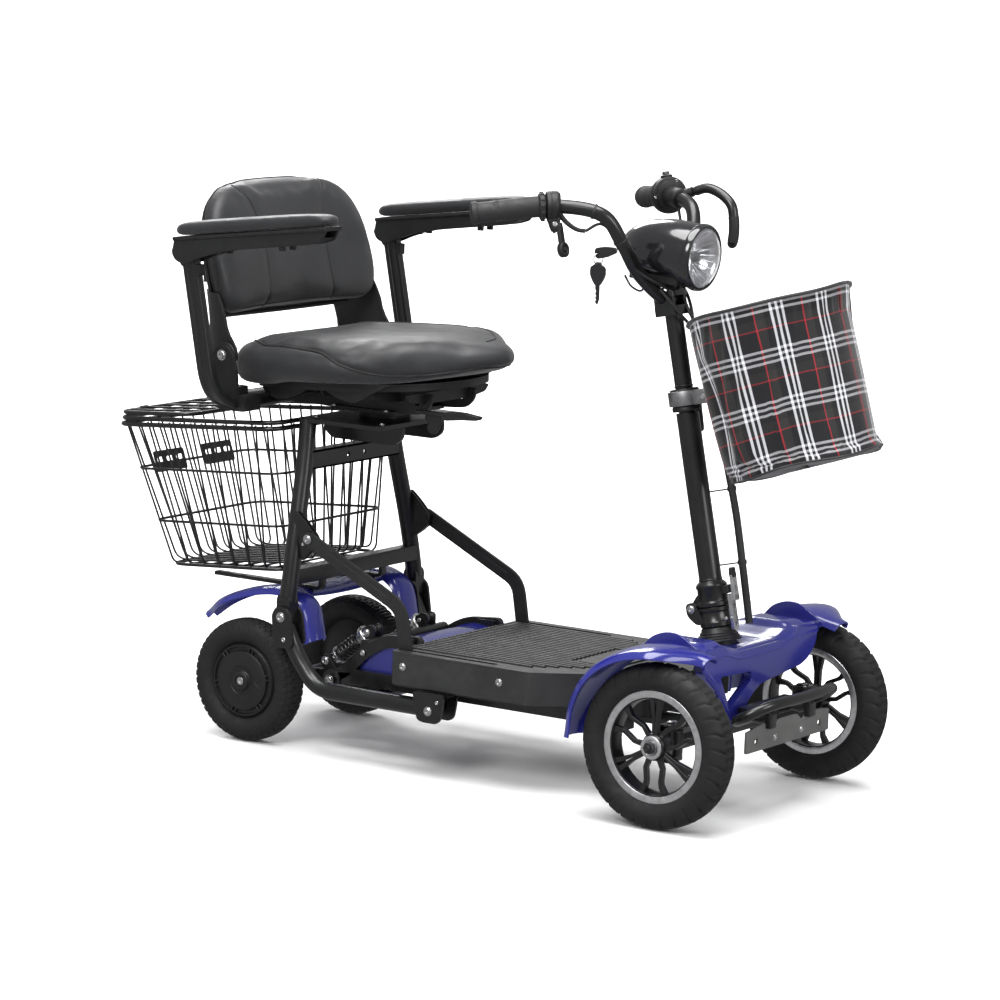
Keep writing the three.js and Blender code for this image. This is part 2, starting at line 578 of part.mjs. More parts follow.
function addHeadlight(column) {
  const [tailN, tailS] = POD.tail;
  const [lensN, lensS] = POD.lens;
  const length = Math.hypot(lensN - tailN, lensS - tailS);
  const profile = [
    [0, 0], [16, 3], [32, 18], [44, 40], [51, 70], [POD.radius, 100], [50, 128], [49, length], [0, length],
  ].map(([r, y]) => new THREE.Vector2(r, y));
  const aim = new THREE.Group();
  aim.position.set(tailN, 0, tailS);
  aim.rotation.y = Math.atan2(lensN - tailN, lensS - tailS);
  const shell = new THREE.LatheGeometry(profile, 24).rotateX(Math.PI / 2).rotateZ(deg(7.5));
  addMesh(aim, 'headlight_pod', shell, BLACK_PLASTIC);
  const lens = new THREE.LatheGeometry([
    [0, length + 0.4], [47, length + 0.4], [47, length + 6], [34, length + 11], [0, length + 14],
  ].map(([r, y]) => new THREE.Vector2(r, y)), 24).rotateX(Math.PI / 2);
  addMesh(aim, 'headlight_lens', lens, CLEAR);
  column.add(aim);
  const keyTop = { n: -94, y: -16, s: 628 };
  addMesh(column, 'ignition_key', join(
    box(keyTop.n - 2, keyTop.n + 16, keyTop.y - 8, keyTop.y - 5, keyTop.s - 11, keyTop.s + 11),
    box(keyTop.n + 14, keyTop.n + 24, keyTop.y - 8, keyTop.y - 5, keyTop.s - 4, keyTop.s + 4),
  ), BLACK_PLASTIC);
}

const BAG = { rim: [171, 518], base: [202, 261], rimRadius: 126, baseRadius: 118, wall: 4 };

// The sleeved cable bundle from the bars down to the deck, in front of the column.
function addCables(column) {
  const route = [[22, 14, 500], [30, 22, 470], [34, 30, 400], [36, 34, 300], [44, 30, 200], [46, 25, 120],
    [44, 26, 60], [43, 26, 26]];
  addMesh(column, 'cable_bundle', sweep(spline(route.map(([n, y, s]) => v3(n, y, s))), ngon(6, 8), 18),
    RUBBER);
}

function addFrontBasket(column) {
  const [rimN, rimS] = BAG.rim;
  const [baseN, baseS] = BAG.base;
  const depth = Math.hypot(rimN - baseN, rimS - baseS);
  const profile = [
    [0, 0], [BAG.baseRadius, 0], [BAG.baseRadius + 3, depth * 0.4], [BAG.rimRadius, depth],
    [BAG.rimRadius - BAG.wall, depth], [BAG.baseRadius - 1, depth * 0.4],
      [BAG.baseRadius - BAG.wall, BAG.wall], [0, BAG.wall],
  ].map(([r, y]) => new THREE.Vector2(r, y));
  const hang = new THREE.Group();
  hang.position.set(baseN, 0, baseS);
  hang.rotation.y = Math.atan2(rimN - baseN, rimS - baseS);
  addMesh(hang, 'plaid_basket', new THREE.LatheGeometry(profile, 28).rotateX(Math.PI / 2), PLAID);
  column.add(hang);
  const s = COLUMN.collarS + 2;
  addMesh(column, 'basket_bracket', join(
    box(24, 30, -24, 24, s - 10, s + 14),
    box(24, 62, -24, -20, s - 10, s + 14),
    box(24, 62, 20, 24, s - 10, s + 14),
  ), STEEL);
}

// ---- seat frame, stays and rear basket ----------------------------------------------------------
const POST = [[FOLD.x, 177, FOLD.z], [-325, 172, 272], [-328, 156, 345], [-335, 126, 462],
  [-340, 112, 534]];

function addSeatFrame(group) {
  const pieces = [];
  for (const side of [RIGHT, LEFT]) {
    const points = POST.map(([x, y, z]) => v3(x, side * y, z));
    pieces.push(sweep(spline([points[0].clone().setZ(FOLD.z + 22), ...points.slice(1)]),
      ngon(HOOP.radius, 8), 10));
    pieces.push(flatBar([[FOLD.x, FOLD.z], [FOLD.x, FOLD.z + 26]], 24, side * FOLD.y, 25.4));
    const gusset = outline([[-330, 306], [-322, 392], [-300, 372], [-281, 352], [-283, 342], [-300, 326]]);
    pieces.push(plateXZ(gusset, side * 158, 8));
  }
  const bar = (x, z, half, height) => box(x - 12, x + 12, -half, half, z - height / 2, z + height / 2);
  pieces.push(bar(-334, 470, 122, 30));
  pieces.push(bar(-324, 285, 168, 26));
  pieces.push(box(-346, -190, -125, 125, 531, 538));
  pieces.push(box(-346, -190, -60, -52, 500, 534));
  pieces.push(box(-346, -190, 52, 60, 500, 534));
  pieces.push(rod(v3(SWIVEL.x, 0, 534), v3(SWIVEL.x, 0, SWIVEL.z - LINK_GAP), 42, 20));
  for (const y of [-84, 84]) {
    pieces.push(box(-540, -318, y - 8, y + 8, 252, 259));
    pieces.push(box(-330, -318, y - 8, y + 8, 252, 290));
  }
  addMesh(group, 'seat_frame', join(...pieces), BLACK_PAINT);
  for (const side of [RIGHT, LEFT]) {
    addMesh(group, `stay_link_${sideName(side)}`,
      flatBar([STAY.top, STAY.bend, STAY.foot], STAY.width, side * (STAY.y + 0.5), STAY.thickness),
        BLACK_PAINT);
  }
}

function basketLevel(t, lift) {
  const mix = (a, b) => a + (b - a) * t;
  const rear = mix(BASKET.rearBottom, BASKET.rearTop);
  const front = mix(BASKET.frontBottom, BASKET.frontTop);
  const half = mix(BASKET.halfBottom, BASKET.halfTop);
  const z = (x) => mix(BASKET.bottomZ, BASKET.topZ) + lift + (x - BASKET.rearTop) * BASKET.rise;
  return { rear, front, half, z };
}

// A rounded rectangle of square wire at level t, from 0 at the bottom to 1 at the top, tipped up
// towards the seat.
function basketRing(t, lift, size, frontLimit = 0) {
  const { rear, half } = basketLevel(t, lift);
  const front = Math.min(basketLevel(t, lift).front, frontLimit);
  const corners = (grow) => {
    const cut = 22;
    const [x0, x1, y] = [rear - grow, front + grow, half + grow];
    return [
      [x0 + cut, -y], [x1 - cut, -y], [x1, -y + cut], [x1, y - cut],
      [x1 - cut, y], [x0 + cut, y], [x0, y - cut], [x0, -y + cut],
    ];
  };
  const shape = outline(corners(size / 2));
  shape.holes.push(new THREE.Path(corners(-size / 2).map(([x, y]) => new THREE.Vector2(x, y))));
  const shear = new THREE.Matrix4().set(1, 0, 0, 0, 0, 1, 0, 0, BASKET.rise, 0, 1, 0, 0, 0, 0, 1);
  const level = basketLevel(t, lift).z(0);
  return plateXY(shape, -size / 2, size).applyMatrix4(shear).translate(0, 0, level);
}

function addRearBasket(group) {
  const wires = [];
  const low = basketLevel(0, 0);
  const high = basketLevel(1, 0);
  const wire = (a, b) => wires.push(rod(a, b, BASKET.wire / 2 + 0.4, 4));
  const across = 4;
  for (let i = 0; i < across; i += 1) {
    const f = (i + 0.5) / across - 0.5;
    const yLow = 2 * f * (low.half - 4);
    const yHigh = 2 * f * (high.half - 22);
    wire(v3(high.rear, yHigh, high.z(high.rear)), v3(low.rear, yLow, low.z(low.rear)));
    wire(v3(low.rear, yLow, low.z(low.rear)), v3(low.front, yLow, low.z(low.front)));
    wire(v3(low.front, yLow, low.z(low.front)), v3(high.front, yHigh, high.z(high.front)));
  }
  const along = 3;
  for (let i = 0; i < along; i += 1) {
    const f = (i + 0.5) / along;
    const xLow = low.rear + 20 + f * (low.front - low.rear - 40);
    const xHigh = high.rear + 22 + f * (high.front - high.rear - 44);
    for (const side of [RIGHT, LEFT]) {
      wire(v3(xHigh, side * high.half, high.z(xHigh)), v3(xLow, side * low.half, low.z(xLow)));
    }
  }
  addMesh(group, 'rear_basket', join(
    basketRing(1, 0, BASKET.rail), basketRing(0.62, 0, BASKET.wire), basketRing(0.28, 0, BASKET.wire),
    basketRing(0, 0, BASKET.wire), ...wires,
  ), BLACK_PAINT);

  const lid = [basketRing(1, BASKET.rail + 1.5, BASKET.rail, BASKET.lidFront)];
  const level = basketLevel(1, BASKET.rail + 1.5);
  for (let i = 1; i < 4; i += 1) {
    const y = -level.half + (i * 2 * level.half) / 4;
    lid.push(rod(v3(level.rear, y, level.z(level.rear)), v3(BASKET.lidFront, y, level.z(BASKET.lidFront)),
      BASKET.wire / 2 + 0.4, 4));
  }
  addMesh(group, 'rear_basket_lid', join(...lid), BLACK_PAINT);
}

// ---- seat ---------------------------------------------------------------------------------------
function cushionOutline(scale) {
  const shape = new THREE.Shape();
  const rear = CUSHION.rear;
  shape.moveTo(rear, -150 * scale);
  shape.bezierCurveTo(rear, -196 * scale, rear + 40, -212 * scale, -300, -212 * scale);
  shape.bezierCurveTo(-210, -212 * scale, -140, -180 * scale, -92, -112 * scale);
  shape.bezierCurveTo(-60, -68 * scale, -20, -36 * scale, -18, 0);
  shape.bezierCurveTo(-20, 36 * scale, -60, 68 * scale, -92, 112 * scale);
  shape.bezierCurveTo(-140, 180 * scale, -210, 212 * scale, -300, 212 * scale);
  shape.bezierCurveTo(rear + 40, 212 * scale, rear, 196 * scale, rear, 150 * scale);
  return shape;
}

function tiltCushion(geometry) {
  geometry.translate(-CUSHION.rear, 0, -CUSHION.bottom);
  return geometry.rotateY(-deg(CUSHION.tilt)).translate(CUSHION.rear, 0, CUSHION.bottom);
}

function addSeat(group) {
  const pan = join(
    box(-330, -196, -70, 70, SWIVEL.z + 4, SWIVEL.z + 10),
    rod(v3(SWIVEL.x, 0, SWIVEL.z), v3(SWIVEL.x, 0, SWIVEL.z + 6), 42, 20),
    box(-440, -130, -66, -54, SWIVEL.z + 6, 598),
    box(-440, -130, 54, 66, SWIVEL.z + 6, 598),
    box(-430, -120, -150, 150, 590, 598),
    box(-140, -128, -150, 150, 570, 598),
    box(-430, -418, -190, 190, 586, 598),
    box(-438, -386, -222, 222, 551, 577),
    box(-440, -376, -66, 66, 574, 592),
  );
  const ears = [RIGHT, LEFT].flatMap((side) => {
    const ear = outline([[-446, 586], [-400, 586], [-404, 628], [-416, 652], [-440, 654], [-448, 640]]);
    return [plateXZ(ear, side * 224, 6), box(-430, -418, side > 0 ? 180 : -226, side > 0 ? 226 : -180, 586,
      598)];
  });
  const sockets = box(ARM.barX - 15, ARM.barX + 15, -230, 230, ARM.barZ - 8, ARM.barZ + 8);
  addMesh(group, 'seat_pan', cut(join(pan, ...ears), sockets), BLACK_PLASTIC);
  addMesh(group, 'swivel_lever', join(box(-150, -60, -84, -72, SWIVEL.z + 14, SWIVEL.z + 20),
    rod(v3(-60, -78, SWIVEL.z + 17), v3(-34, -78, SWIVEL.z + 17), 8, 10)), BLACK_PLASTIC);

  const cushion = new THREE.ExtrudeGeometry(cushionOutline(0.96), {
    depth: CUSHION.thickness - 26, bevelEnabled: true, bevelThickness: 12, bevelSize: 8, bevelSegments: 2,
      curveSegments: 5,
  }).translate(0, 0, CUSHION.bottom + 12.6);
  addMesh(group, 'seat_cushion', tiltCushion(cushion), VINYL);

  for (const side of [RIGHT, LEFT]) {
    const post = bentPath([
      v3(ARM.barX, side * 90, ARM.barZ), v3(ARM.barX, side * ARM.y, ARM.barZ),
      v3(ARM.pivotX + 4, side * ARM.y, ARM.pivotZ - 2),
    ], 40);
    const section = outline([[-7, -14], [7, -14], [7, 14], [-7, 14]]);
    const ear = flatBar([[ARM.pivotX + 4, ARM.pivotZ - 12], [ARM.pivotX, ARM.pivotZ]], 28, side * ARM.y,
      12);
    addMesh(group, `armrest_post_${sideName(side)}`, join(sweep(post, section, 26), ear), BLACK_PAINT);
    addArmrest(group, side);
  }
  addBackrest(group);
}

function addArmrest(group, side) {
  const lift = (x) => ARM.pivotZ + 20 + (x - ARM.pivotX) * 0.125;
  const front = ARM.padFront;
  const rear = ARM.pivotX - 14;
  const tray = outline([
    [rear, lift(rear) + 4], [rear, lift(rear) - 22], [ARM.pivotX - 2, ARM.pivotZ - 14],
      [ARM.pivotX + 18, ARM.pivotZ - 20],
    [-400, lift(-400) - 22], [-370, lift(-370) - 12], [front + 14, lift(front) - 6],
      [front + 8, lift(front) + 4],
  ]);
  const body = plateXZ(tray, side * ARM.y, 44);
  const pocket = box(rear - 10, ARM.pivotX + 27, side * ARM.y - 12, side * ARM.y + 12, ARM.pivotZ - 60,
    ARM.pivotZ + 17);
  addMesh(group, `armrest_tray_${sideName(side)}`, cut(body, pocket), BLACK_PLASTIC);
  const pad = outline([
    [rear, lift(rear) + 4.4], [front + 6, lift(front) + 4.4], [front, lift(front) + 16],
      [front + 6, lift(front) + 28],
    [rear + 8, lift(rear) + 28], [rear, lift(rear) + 18],
  ]);
  addMesh(group, `armrest_pad_${sideName(side)}`, plateXZ(pad, side * ARM.y, ARM.padWidth), VINYL);
}

const BACK = { bottom: 690, thickness: 44, lean: 12, x: -458 };

function addBackrest(group) {
  const shape = new THREE.Shape();
  shape.moveTo(-165, 0);
  shape.lineTo(165, 0);
  shape.bezierCurveTo(196, 0, 210, 20, 210, 70);
  shape.bezierCurveTo(210, 170, 172, 218, 90, 222);
  shape.bezierCurveTo(30, 226, -30, 226, -90, 222);
  shape.bezierCurveTo(-172, 218, -210, 170, -210, 70);
  shape.bezierCurveTo(-210, 20, -196, 0, -165, 0);
  const pad = new THREE.ExtrudeGeometry(shape, {
    depth: BACK.thickness - 20, bevelEnabled: true, bevelThickness: 10, bevelSize: 8, bevelOffset: -8,
      bevelSegments: 2, curveSegments: 4,
  });
  const turn = new THREE.Matrix4().makeBasis(v3(0, 1, 0), v3(0, 0, 1), v3(1, 0, 0));
  pad.applyMatrix4(turn).translate(10 - BACK.thickness / 2, 0, 0).rotateY(-deg(BACK.lean)).translate(BACK.x,
    0, BACK.bottom);
  addMesh(group, 'backrest_cushion', pad, VINYL);

  const pieces = [];
  for (const side of [RIGHT, LEFT]) {
    const leg = outline([
      [BACK_HINGE.x - 16, BACK_HINGE.z - 12], [BACK_HINGE.x + 12, BACK_HINGE.z - 12],
        [BACK_HINGE.x + 16, BACK_HINGE.z + 8],
      [BACK_HINGE.x - 8, 681], [BACK_HINGE.x - 53.5, 681], [BACK_HINGE.x - 77, 796],
        [BACK_HINGE.x - 104, 796],
      [BACK_HINGE.x - 86, 690],
    ]);
    pieces.push(plateXZ(leg, side * (BACK_HINGE.y + 1), 8));
    pieces.push(rod(v3(BACK_HINGE.x, side * 200, BACK_HINGE.z),
      v3(BACK_HINGE.x, side * 220.5, BACK_HINGE.z), 9, 12));
  }
  pieces.push(box(BACK_HINGE.x - 100, BACK_HINGE.x - 92, -206, 206, 744, 784));
  addMesh(group, 'backrest_frame', join(...pieces), BLACK_PLASTIC);
}

// ---- assembly -----------------------------------------------------------------------------------
const scooter = new THREE.Group();
for (const side of [RIGHT, LEFT]) {
  addFrontWheel(scooter, side);
  addKnuckle(scooter, side);
  addRearWheel(scooter, side);
}
addFrontAxle(scooter);
addFrontBodywork(scooter);
addDeck(scooter);
addChassis(scooter);
addRear(scooter);
addColumn(scooter);
addSeatFrame(scooter);
addRearBasket(scooter);
addSeat(scooter);

// The origin is moved under the middle of the whole object.
const reach = new THREE.Box3().setFromObject(scooter);
scooter.position.x = -(reach.min.x + reach.max.x) / 2;

export default scooter;
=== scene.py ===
import json
import math

import bmesh
import bpy
import numpy as np
from mathutils import Matrix, Vector

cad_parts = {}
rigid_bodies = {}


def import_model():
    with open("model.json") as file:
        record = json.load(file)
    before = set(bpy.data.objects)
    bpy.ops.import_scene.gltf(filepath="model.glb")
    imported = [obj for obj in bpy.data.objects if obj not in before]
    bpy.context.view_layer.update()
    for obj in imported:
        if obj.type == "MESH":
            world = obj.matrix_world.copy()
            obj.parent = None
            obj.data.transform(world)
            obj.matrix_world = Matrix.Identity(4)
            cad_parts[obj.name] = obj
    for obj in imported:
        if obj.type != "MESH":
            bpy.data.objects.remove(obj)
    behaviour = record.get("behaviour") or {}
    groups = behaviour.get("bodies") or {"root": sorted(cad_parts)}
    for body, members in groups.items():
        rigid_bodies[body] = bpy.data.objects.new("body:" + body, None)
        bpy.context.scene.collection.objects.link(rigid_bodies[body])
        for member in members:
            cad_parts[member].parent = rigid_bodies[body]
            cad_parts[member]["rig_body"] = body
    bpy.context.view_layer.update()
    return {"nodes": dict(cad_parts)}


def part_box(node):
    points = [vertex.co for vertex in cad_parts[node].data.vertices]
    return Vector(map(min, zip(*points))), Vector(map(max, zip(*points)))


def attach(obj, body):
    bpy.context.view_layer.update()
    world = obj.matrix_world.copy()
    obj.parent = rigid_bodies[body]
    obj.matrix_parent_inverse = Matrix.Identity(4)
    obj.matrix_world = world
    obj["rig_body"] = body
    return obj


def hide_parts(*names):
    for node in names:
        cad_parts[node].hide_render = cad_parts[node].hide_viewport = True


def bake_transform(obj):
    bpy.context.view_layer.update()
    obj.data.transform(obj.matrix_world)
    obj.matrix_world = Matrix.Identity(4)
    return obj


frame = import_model()

# Shapes below are given in millimetres from the point on the ground midway between the axles.
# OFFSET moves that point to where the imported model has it.
WHEEL_LOW, WHEEL_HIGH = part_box("front_tyre_left")
FRONT_AXLE_X = 421.0
OFFSET = (WHEEL_LOW.x + WHEEL_HIGH.x) / 2 * 1000 - FRONT_AXLE_X
SIDES = (("left", 1), ("right", -1))
FRONT_TREAD_DEPTH, REAR_TREAD_DEPTH = 3.0, 2.8


# ---- mesh helpers ---------------------------------------------------------------------------
def vec(*xyz):
    return np.array(xyz, float)


def unit(v):
    v = np.asarray(v, float)
    return v / max(np.linalg.norm(v), 1e-12)


def circle(radius, sides):
    turn = np.arange(sides) * 2 * math.pi / sides
    return np.stack([radius * np.cos(turn), radius * np.sin(turn)], 1)


def rounded_rect(half_a, half_b, radius, steps=4):
    """Section outline of a rectangle with round corners."""
    points = []
    for ca, cb, start in ((1, 1, 0), (-1, 1, 90), (-1, -1, 180), (1, -1, 270)):
        for k in range(steps + 1):
            angle = math.radians(start + 90 * k / steps)
            points.append((ca * (half_a - radius) + radius * math.cos(angle),
                           cb * (half_b - radius) + radius * math.sin(angle)))
    return np.array(points)


def spline(points, count, closed=False):
    """Points spaced evenly along a centripetal Catmull-Rom curve."""
    p = np.asarray(points, float)
    if closed:
        p = np.vstack([p[-1], p, p[0], p[1]])
    else:
        p = np.vstack([2 * p[0] - p[1], p, 2 * p[-1] - p[-2]])
    out = []
    for i in range(1, len(p) - 2):
        knots = [0.0]
        for k in range(3):
            knots.append(knots[-1] + max(np.linalg.norm(p[i + k] - p[i + k - 1]) ** 0.5, 1e-6))
        for t in np.linspace(knots[1], knots[2], 24, endpoint=False):
            a = [((knots[k + 1] - t) * p[i + k - 1] + (t - knots[k]) * p[i + k]) / (knots[k + 1] - knots[k])
                 for k in range(3)]
            b = [((knots[k + 2] - t) * a[k] + (t - knots[k]) * a[k + 1]) / (knots[k + 2] - knots[k])
                 for k in range(2)]
            out.append(((knots[2] - t) * b[0] + (t - knots[1]) * b[1]) / (knots[2] - knots[1]))
    out.append(p[-2])
    return even(out, count)


def even(points, count):
    p = np.asarray(points, float)
    run = np.concatenate([[0], np.cumsum(np.linalg.norm(np.diff(p, axis=0), axis=1))])
    where = np.linspace(0, run[-1], count)
    return np.stack([np.interp(where, run, p[:, k]) for k in range(3)], 1)


def bent(points, radius, steps=8):
    """A polyline whose corners are rounded."""
    p = [np.asarray(q, float) for q in points]
    out = [p[0]]
    for i in range(1, len(p) - 1):
        back, ahead = p[i - 1] - p[i], p[i + 1] - p[i]
        reach = min(radius, 0.48 * np.linalg.norm(back), 0.48 * np.linalg.norm(ahead))
        enter, leave = p[i] + unit(back) * reach, p[i] + unit(ahead) * reach
        for k in range(steps + 1):
            t = k / steps
            out.append((1 - t) ** 2 * enter + 2 * t * (1 - t) * p[i] + t * t * leave)
    out.append(p[-1])
    return np.array(out)


def sweep(points, section, closed=False, side=None, scale=None, caps=True):
    """A section moved along points. side fixes the direction of the section's first axis."""
    p = np.asarray(points, float)
    section = np.asarray(section, float)
    if closed and np.linalg.norm(p[0] - p[-1]) < 1e-6:
        p = p[:-1]
    n = len(p)
    ahead = np.roll(p, -1, 0) - p if closed else np.vstack([np.diff(p, axis=0), p[-1] - p[-2]])
    behind = np.roll(ahead, 1, 0) if closed else np.vstack([ahead[0], ahead[:-1]])
    tangents = [unit(unit(a) + unit(b)) for a, b in zip(ahead, behind)]
    if side is None:
        seed = vec(0, 0, 1) if abs(tangents[0][2]) < 0.9 else vec(0, 1, 0)
        first = unit(np.cross(seed, tangents[0]))
    verts = []
    for i, t in enumerate(tangents):
        if side is not None:
            first = unit(np.asarray(side, float) - t * np.dot(side, t))
        else:
            first = unit(first - t * np.dot(first, t))
        second = np.cross(t, first)
        size = 1.0 if scale is None else scale[i]
        verts.extend(p[i] + size * (a * first + b * second) for a, b in section)
    k = len(section)
    faces = []
    for i in range(n if closed else n - 1):
        j = (i + 1) % n
        faces.extend((i * k + m, i * k + (m + 1) % k, j * k + (m + 1) % k, j * k + m) for m in range(k))
    if caps and not closed:
        faces.append(tuple(range(k - 1, -1, -1)))
        faces.append(tuple((n - 1) * k + m for m in range(k)))
    return verts, faces


def tube(points, radius, sides=16, closed=False, scale=None):
    return sweep(points, circle(radius, sides), closed, scale=scale)


def rod(a, b, radius, sides=20, round_end=0.0):
    """A straight round bar, with its ends rounded by round_end."""
    a, b = np.asarray(a, float), np.asarray(b, float)
    length = np.linalg.norm(b - a)
    e = min(round_end, radius * 0.9, length * 0.45)
    if e <= 0:
        return lathe([(0, 0), (radius, 0), (radius, length), (0, length)], sides, a, b - a)
    return lathe([(0, 0), (radius - e, 0), (radius - 0.3 * e, 0.3 * e), (radius, e), (radius, length - e),
                  (radius - 0.3 * e, length - 0.3 * e), (radius - e, length), (0, length)], sides, a, b - a)


def lathe(profile, segments, centre, axis, start=0.0, closed=False):
    """A (radius, height) profile turned about an axis through centre."""
    axis = unit(axis)
    seed = vec(0, 0, 1) if abs(axis[2]) < 0.9 else vec(1, 0, 0)
    first = unit(np.cross(seed, axis))
    second = np.cross(axis, first)
    verts, faces = [], []
    for k in range(segments):
        angle = start + 2 * math.pi * k / segments
        out = math.cos(angle) * first + math.sin(angle) * second
        verts.extend(np.asarray(centre, float) + r * out + h * axis for r, h in profile)
    m = len(profile)
    for k in range(segments):
        j = (k + 1) % segments
        for i in range(m if closed else m - 1):
            q = (i + 1) % m
            faces.append((k * m + i, k * m + q, j * m + q, j * m + i))
    return verts, faces


PLANES = {"xy": (0, 1, 2), "xz": (0, 2, 1), "yz": (1, 2, 0)}


def plate(outline, plane, low, high, holes=()):
    """A flat outline in a plane, with holes, given a thickness from low to high along the third axis."""
    a, b, c = PLANES[plane]
    loops = [np.asarray(outline, float)] + [np.asarray(h, float) for h in holes]
    bm = bmesh.new()
    for loop in loops:
        ring = [bm.verts.new((q[0], q[1], 0)) for q in loop]
        for i, v in enumerate(ring):
            bm.edges.new((v, ring[(i + 1) % len(ring)]))
    bmesh.ops.triangle_fill(bm, use_beauty=True, edges=bm.edges[:])
    if not holes:
        bmesh.ops.dissolve_faces(bm, faces=bm.faces[:])
    bm.verts.index_update()
    flat = [tuple(v.co) for v in bm.verts]
    faces = [tuple(v.index for v in f.verts) for f in bm.faces]
    bm.free()
    count = len(flat)
    verts = []
    for level in (low, high):
        for q in flat:
            point = [0.0, 0.0, 0.0]
            point[a], point[b], point[c] = q[0], q[1], level
            verts.append(point)
    solid = list(faces) + [tuple(count + i for i in reversed(f)) for f in faces]
    at = {(round(q[0], 4), round(q[1], 4)): i for i, q in enumerate(flat)}
    for loop in loops:
        ids = [at[(round(np.float32(q[0]).item(), 4), round(np.float32(q[1]).item(), 4))] for q in loop]
        for i, start in enumerate(ids):
            end = ids[(i + 1) % len(ids)]
            solid.append((start, end, count + end, count + start))
    return verts, solid


def box(x0, x1, y0, y1, z0, z1):
    return plate([(x0, y0), (x1, y0), (x1, y1), (x0, y1)], "xy", z0, z1)


def strap(points, width, steps=8):
    """Outline of a flat bar of a given width along 2D points, with round ends and corners."""
    p = bent([(x, z, 0) for x, z in points], width * 0.9, 5)[:, :2]
    left, right = [], []
    for i in range(len(p)):
        d = p[min(i + 1, len(p) - 1)] - p[max(i - 1, 0)]
        d = d / np.linalg.norm(d)
        normal = np.array([-d[1], d[0]])
        left.append(p[i] + normal * width / 2)
        right.append(p[i] - normal * width / 2)

    def cap(centre, direction):
        start = math.atan2(direction[1], direction[0]) - math.pi / 2
        return [centre + width / 2 * np.array([math.cos(start + math.pi * k / steps),
                                               math.sin(start + math.pi * k / steps)])
                for k in range(1, steps)]

    return right + cap(p[-1], p[-1] - p[-2]) + left[::-1] + cap(p[0], p[0] - p[1])


def rounded(points, radius, steps=4):
    """Rounds the corners of a closed 2D outline."""
    p = [np.asarray(q, float) for q in points]
    out = []
    for i, q in enumerate(p):
        back, ahead = p[i - 1] - q, p[(i + 1) % len(p)] - q
        reach = min(radius, 0.45 * np.linalg.norm(back), 0.45 * np.linalg.norm(ahead))
        enter, leave = q + unit(back) * reach, q + unit(ahead) * reach
        for k in range(steps + 1):
            t = k / steps
            out.append((1 - t) ** 2 * enter + 2 * t * (1 - t) * q + t * t * leave)
    return out


class Shape:
    """Parts gathered into one mesh, each with its material's number."""

    def __init__(self):
        self.verts, self.faces, self.mats = [], [], []

    def add(self, part, mat=0):
        verts, faces = part
        start = len(self.verts)
        self.verts.extend(tuple(v) for v in verts)
        self.faces.extend(tuple(start + i for i in f) for f in faces)
        self.mats.extend([mat] * len(faces))
        return self

    def bolt(self, at, axis, radius=6.0, mat=1):
        """A domed socket-head bolt on a washer, standing on at and pointing along axis."""
        r = radius
        self.add(lathe([(0, -0.5), (r * 1.25, -0.5), (r * 1.25, 0.6), (r, 0.8), (r, 1.4),
                        (r * 0.85, r * 0.42),
                        (r * 0.55, r * 0.5), (r * 0.5, r * 0.16), (0, r * 0.14)], 18, at, axis), mat)
        return self

    def build(self, name, body, materials, slot, replaces=(), bevel=0.0, angle=38, place=None, uv=None,
              subdivide=0):
        v = np.array(self.verts, float)
        if place is not None:
            v = v @ place[:3, :3].T + place[:3, 3]
        v = (v + vec(OFFSET, 0, 0)) / 1000
        mesh = bpy.data.meshes.new(name)
        mesh.from_pydata(v.tolist(), [], self.faces)
        mesh.polygons.foreach_set("material_index", self.mats)
        for m in materials:
            mesh.materials.append(m)
        if uv is not None:
            layer = mesh.uv_layers.new(name="UVMap")
            flat = np.array([uv[loop.vertex_index] for loop in mesh.loops], float)
            layer.data.foreach_set("uv", flat.ravel())
        tidy_mesh(mesh, angle, merge=uv is None)
        piece = bpy.data.objects.new(name, mesh)
        bpy.context.scene.collection.objects.link(piece)
        if bevel > 0:
            add_bevel(piece, bevel)
        if subdivide:
            mod = piece.modifiers.new("subdivide", "SUBSURF")
            mod.levels = mod.render_levels = subdivide
        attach(piece, body)
        if replaces:
            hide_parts(*replaces)
        return piece


def tidy_mesh(mesh, angle, merge=True):
    bm = bmesh.new()
    bm.from_mesh(mesh)
    if merge:
        bmesh.ops.remove_doubles(bm, verts=bm.verts[:], dist=2e-6)
    bmesh.ops.dissolve_degenerate(bm, edges=bm.edges[:], dist=1e-7)
    bmesh.ops.recalc_face_normals(bm, faces=bm.faces[:])
    limit = math.radians(angle)
    for edge in bm.edges:
        edge.smooth = len(edge.link_faces) == 2 and edge.calc_face_angle(0) < limit
    for face in bm.faces:
        face.smooth = True
    bm.to_mesh(mesh)
    bm.free()


def add_bevel(piece, width, segments=2):
    mod = piece.modifiers.new("edges", "BEVEL")
    mod.width = width / 1000
    mod.segments = segments
    mod.limit_method = "ANGLE"
    mod.angle_limit = math.radians(38)
    mod.harden_normals = True
    mod.use_clamp_overlap = True


def finish_node(name, material, bevel=0.8):
    """A CAD node that stays gets its material and soft edges."""
    node = frame["nodes"][name]
    node.data.materials.clear()
    node.data.materials.append(material)
    for polygon in node.data.polygons:
        polygon.material_index = 0
    add_bevel(node, bevel)
    return node


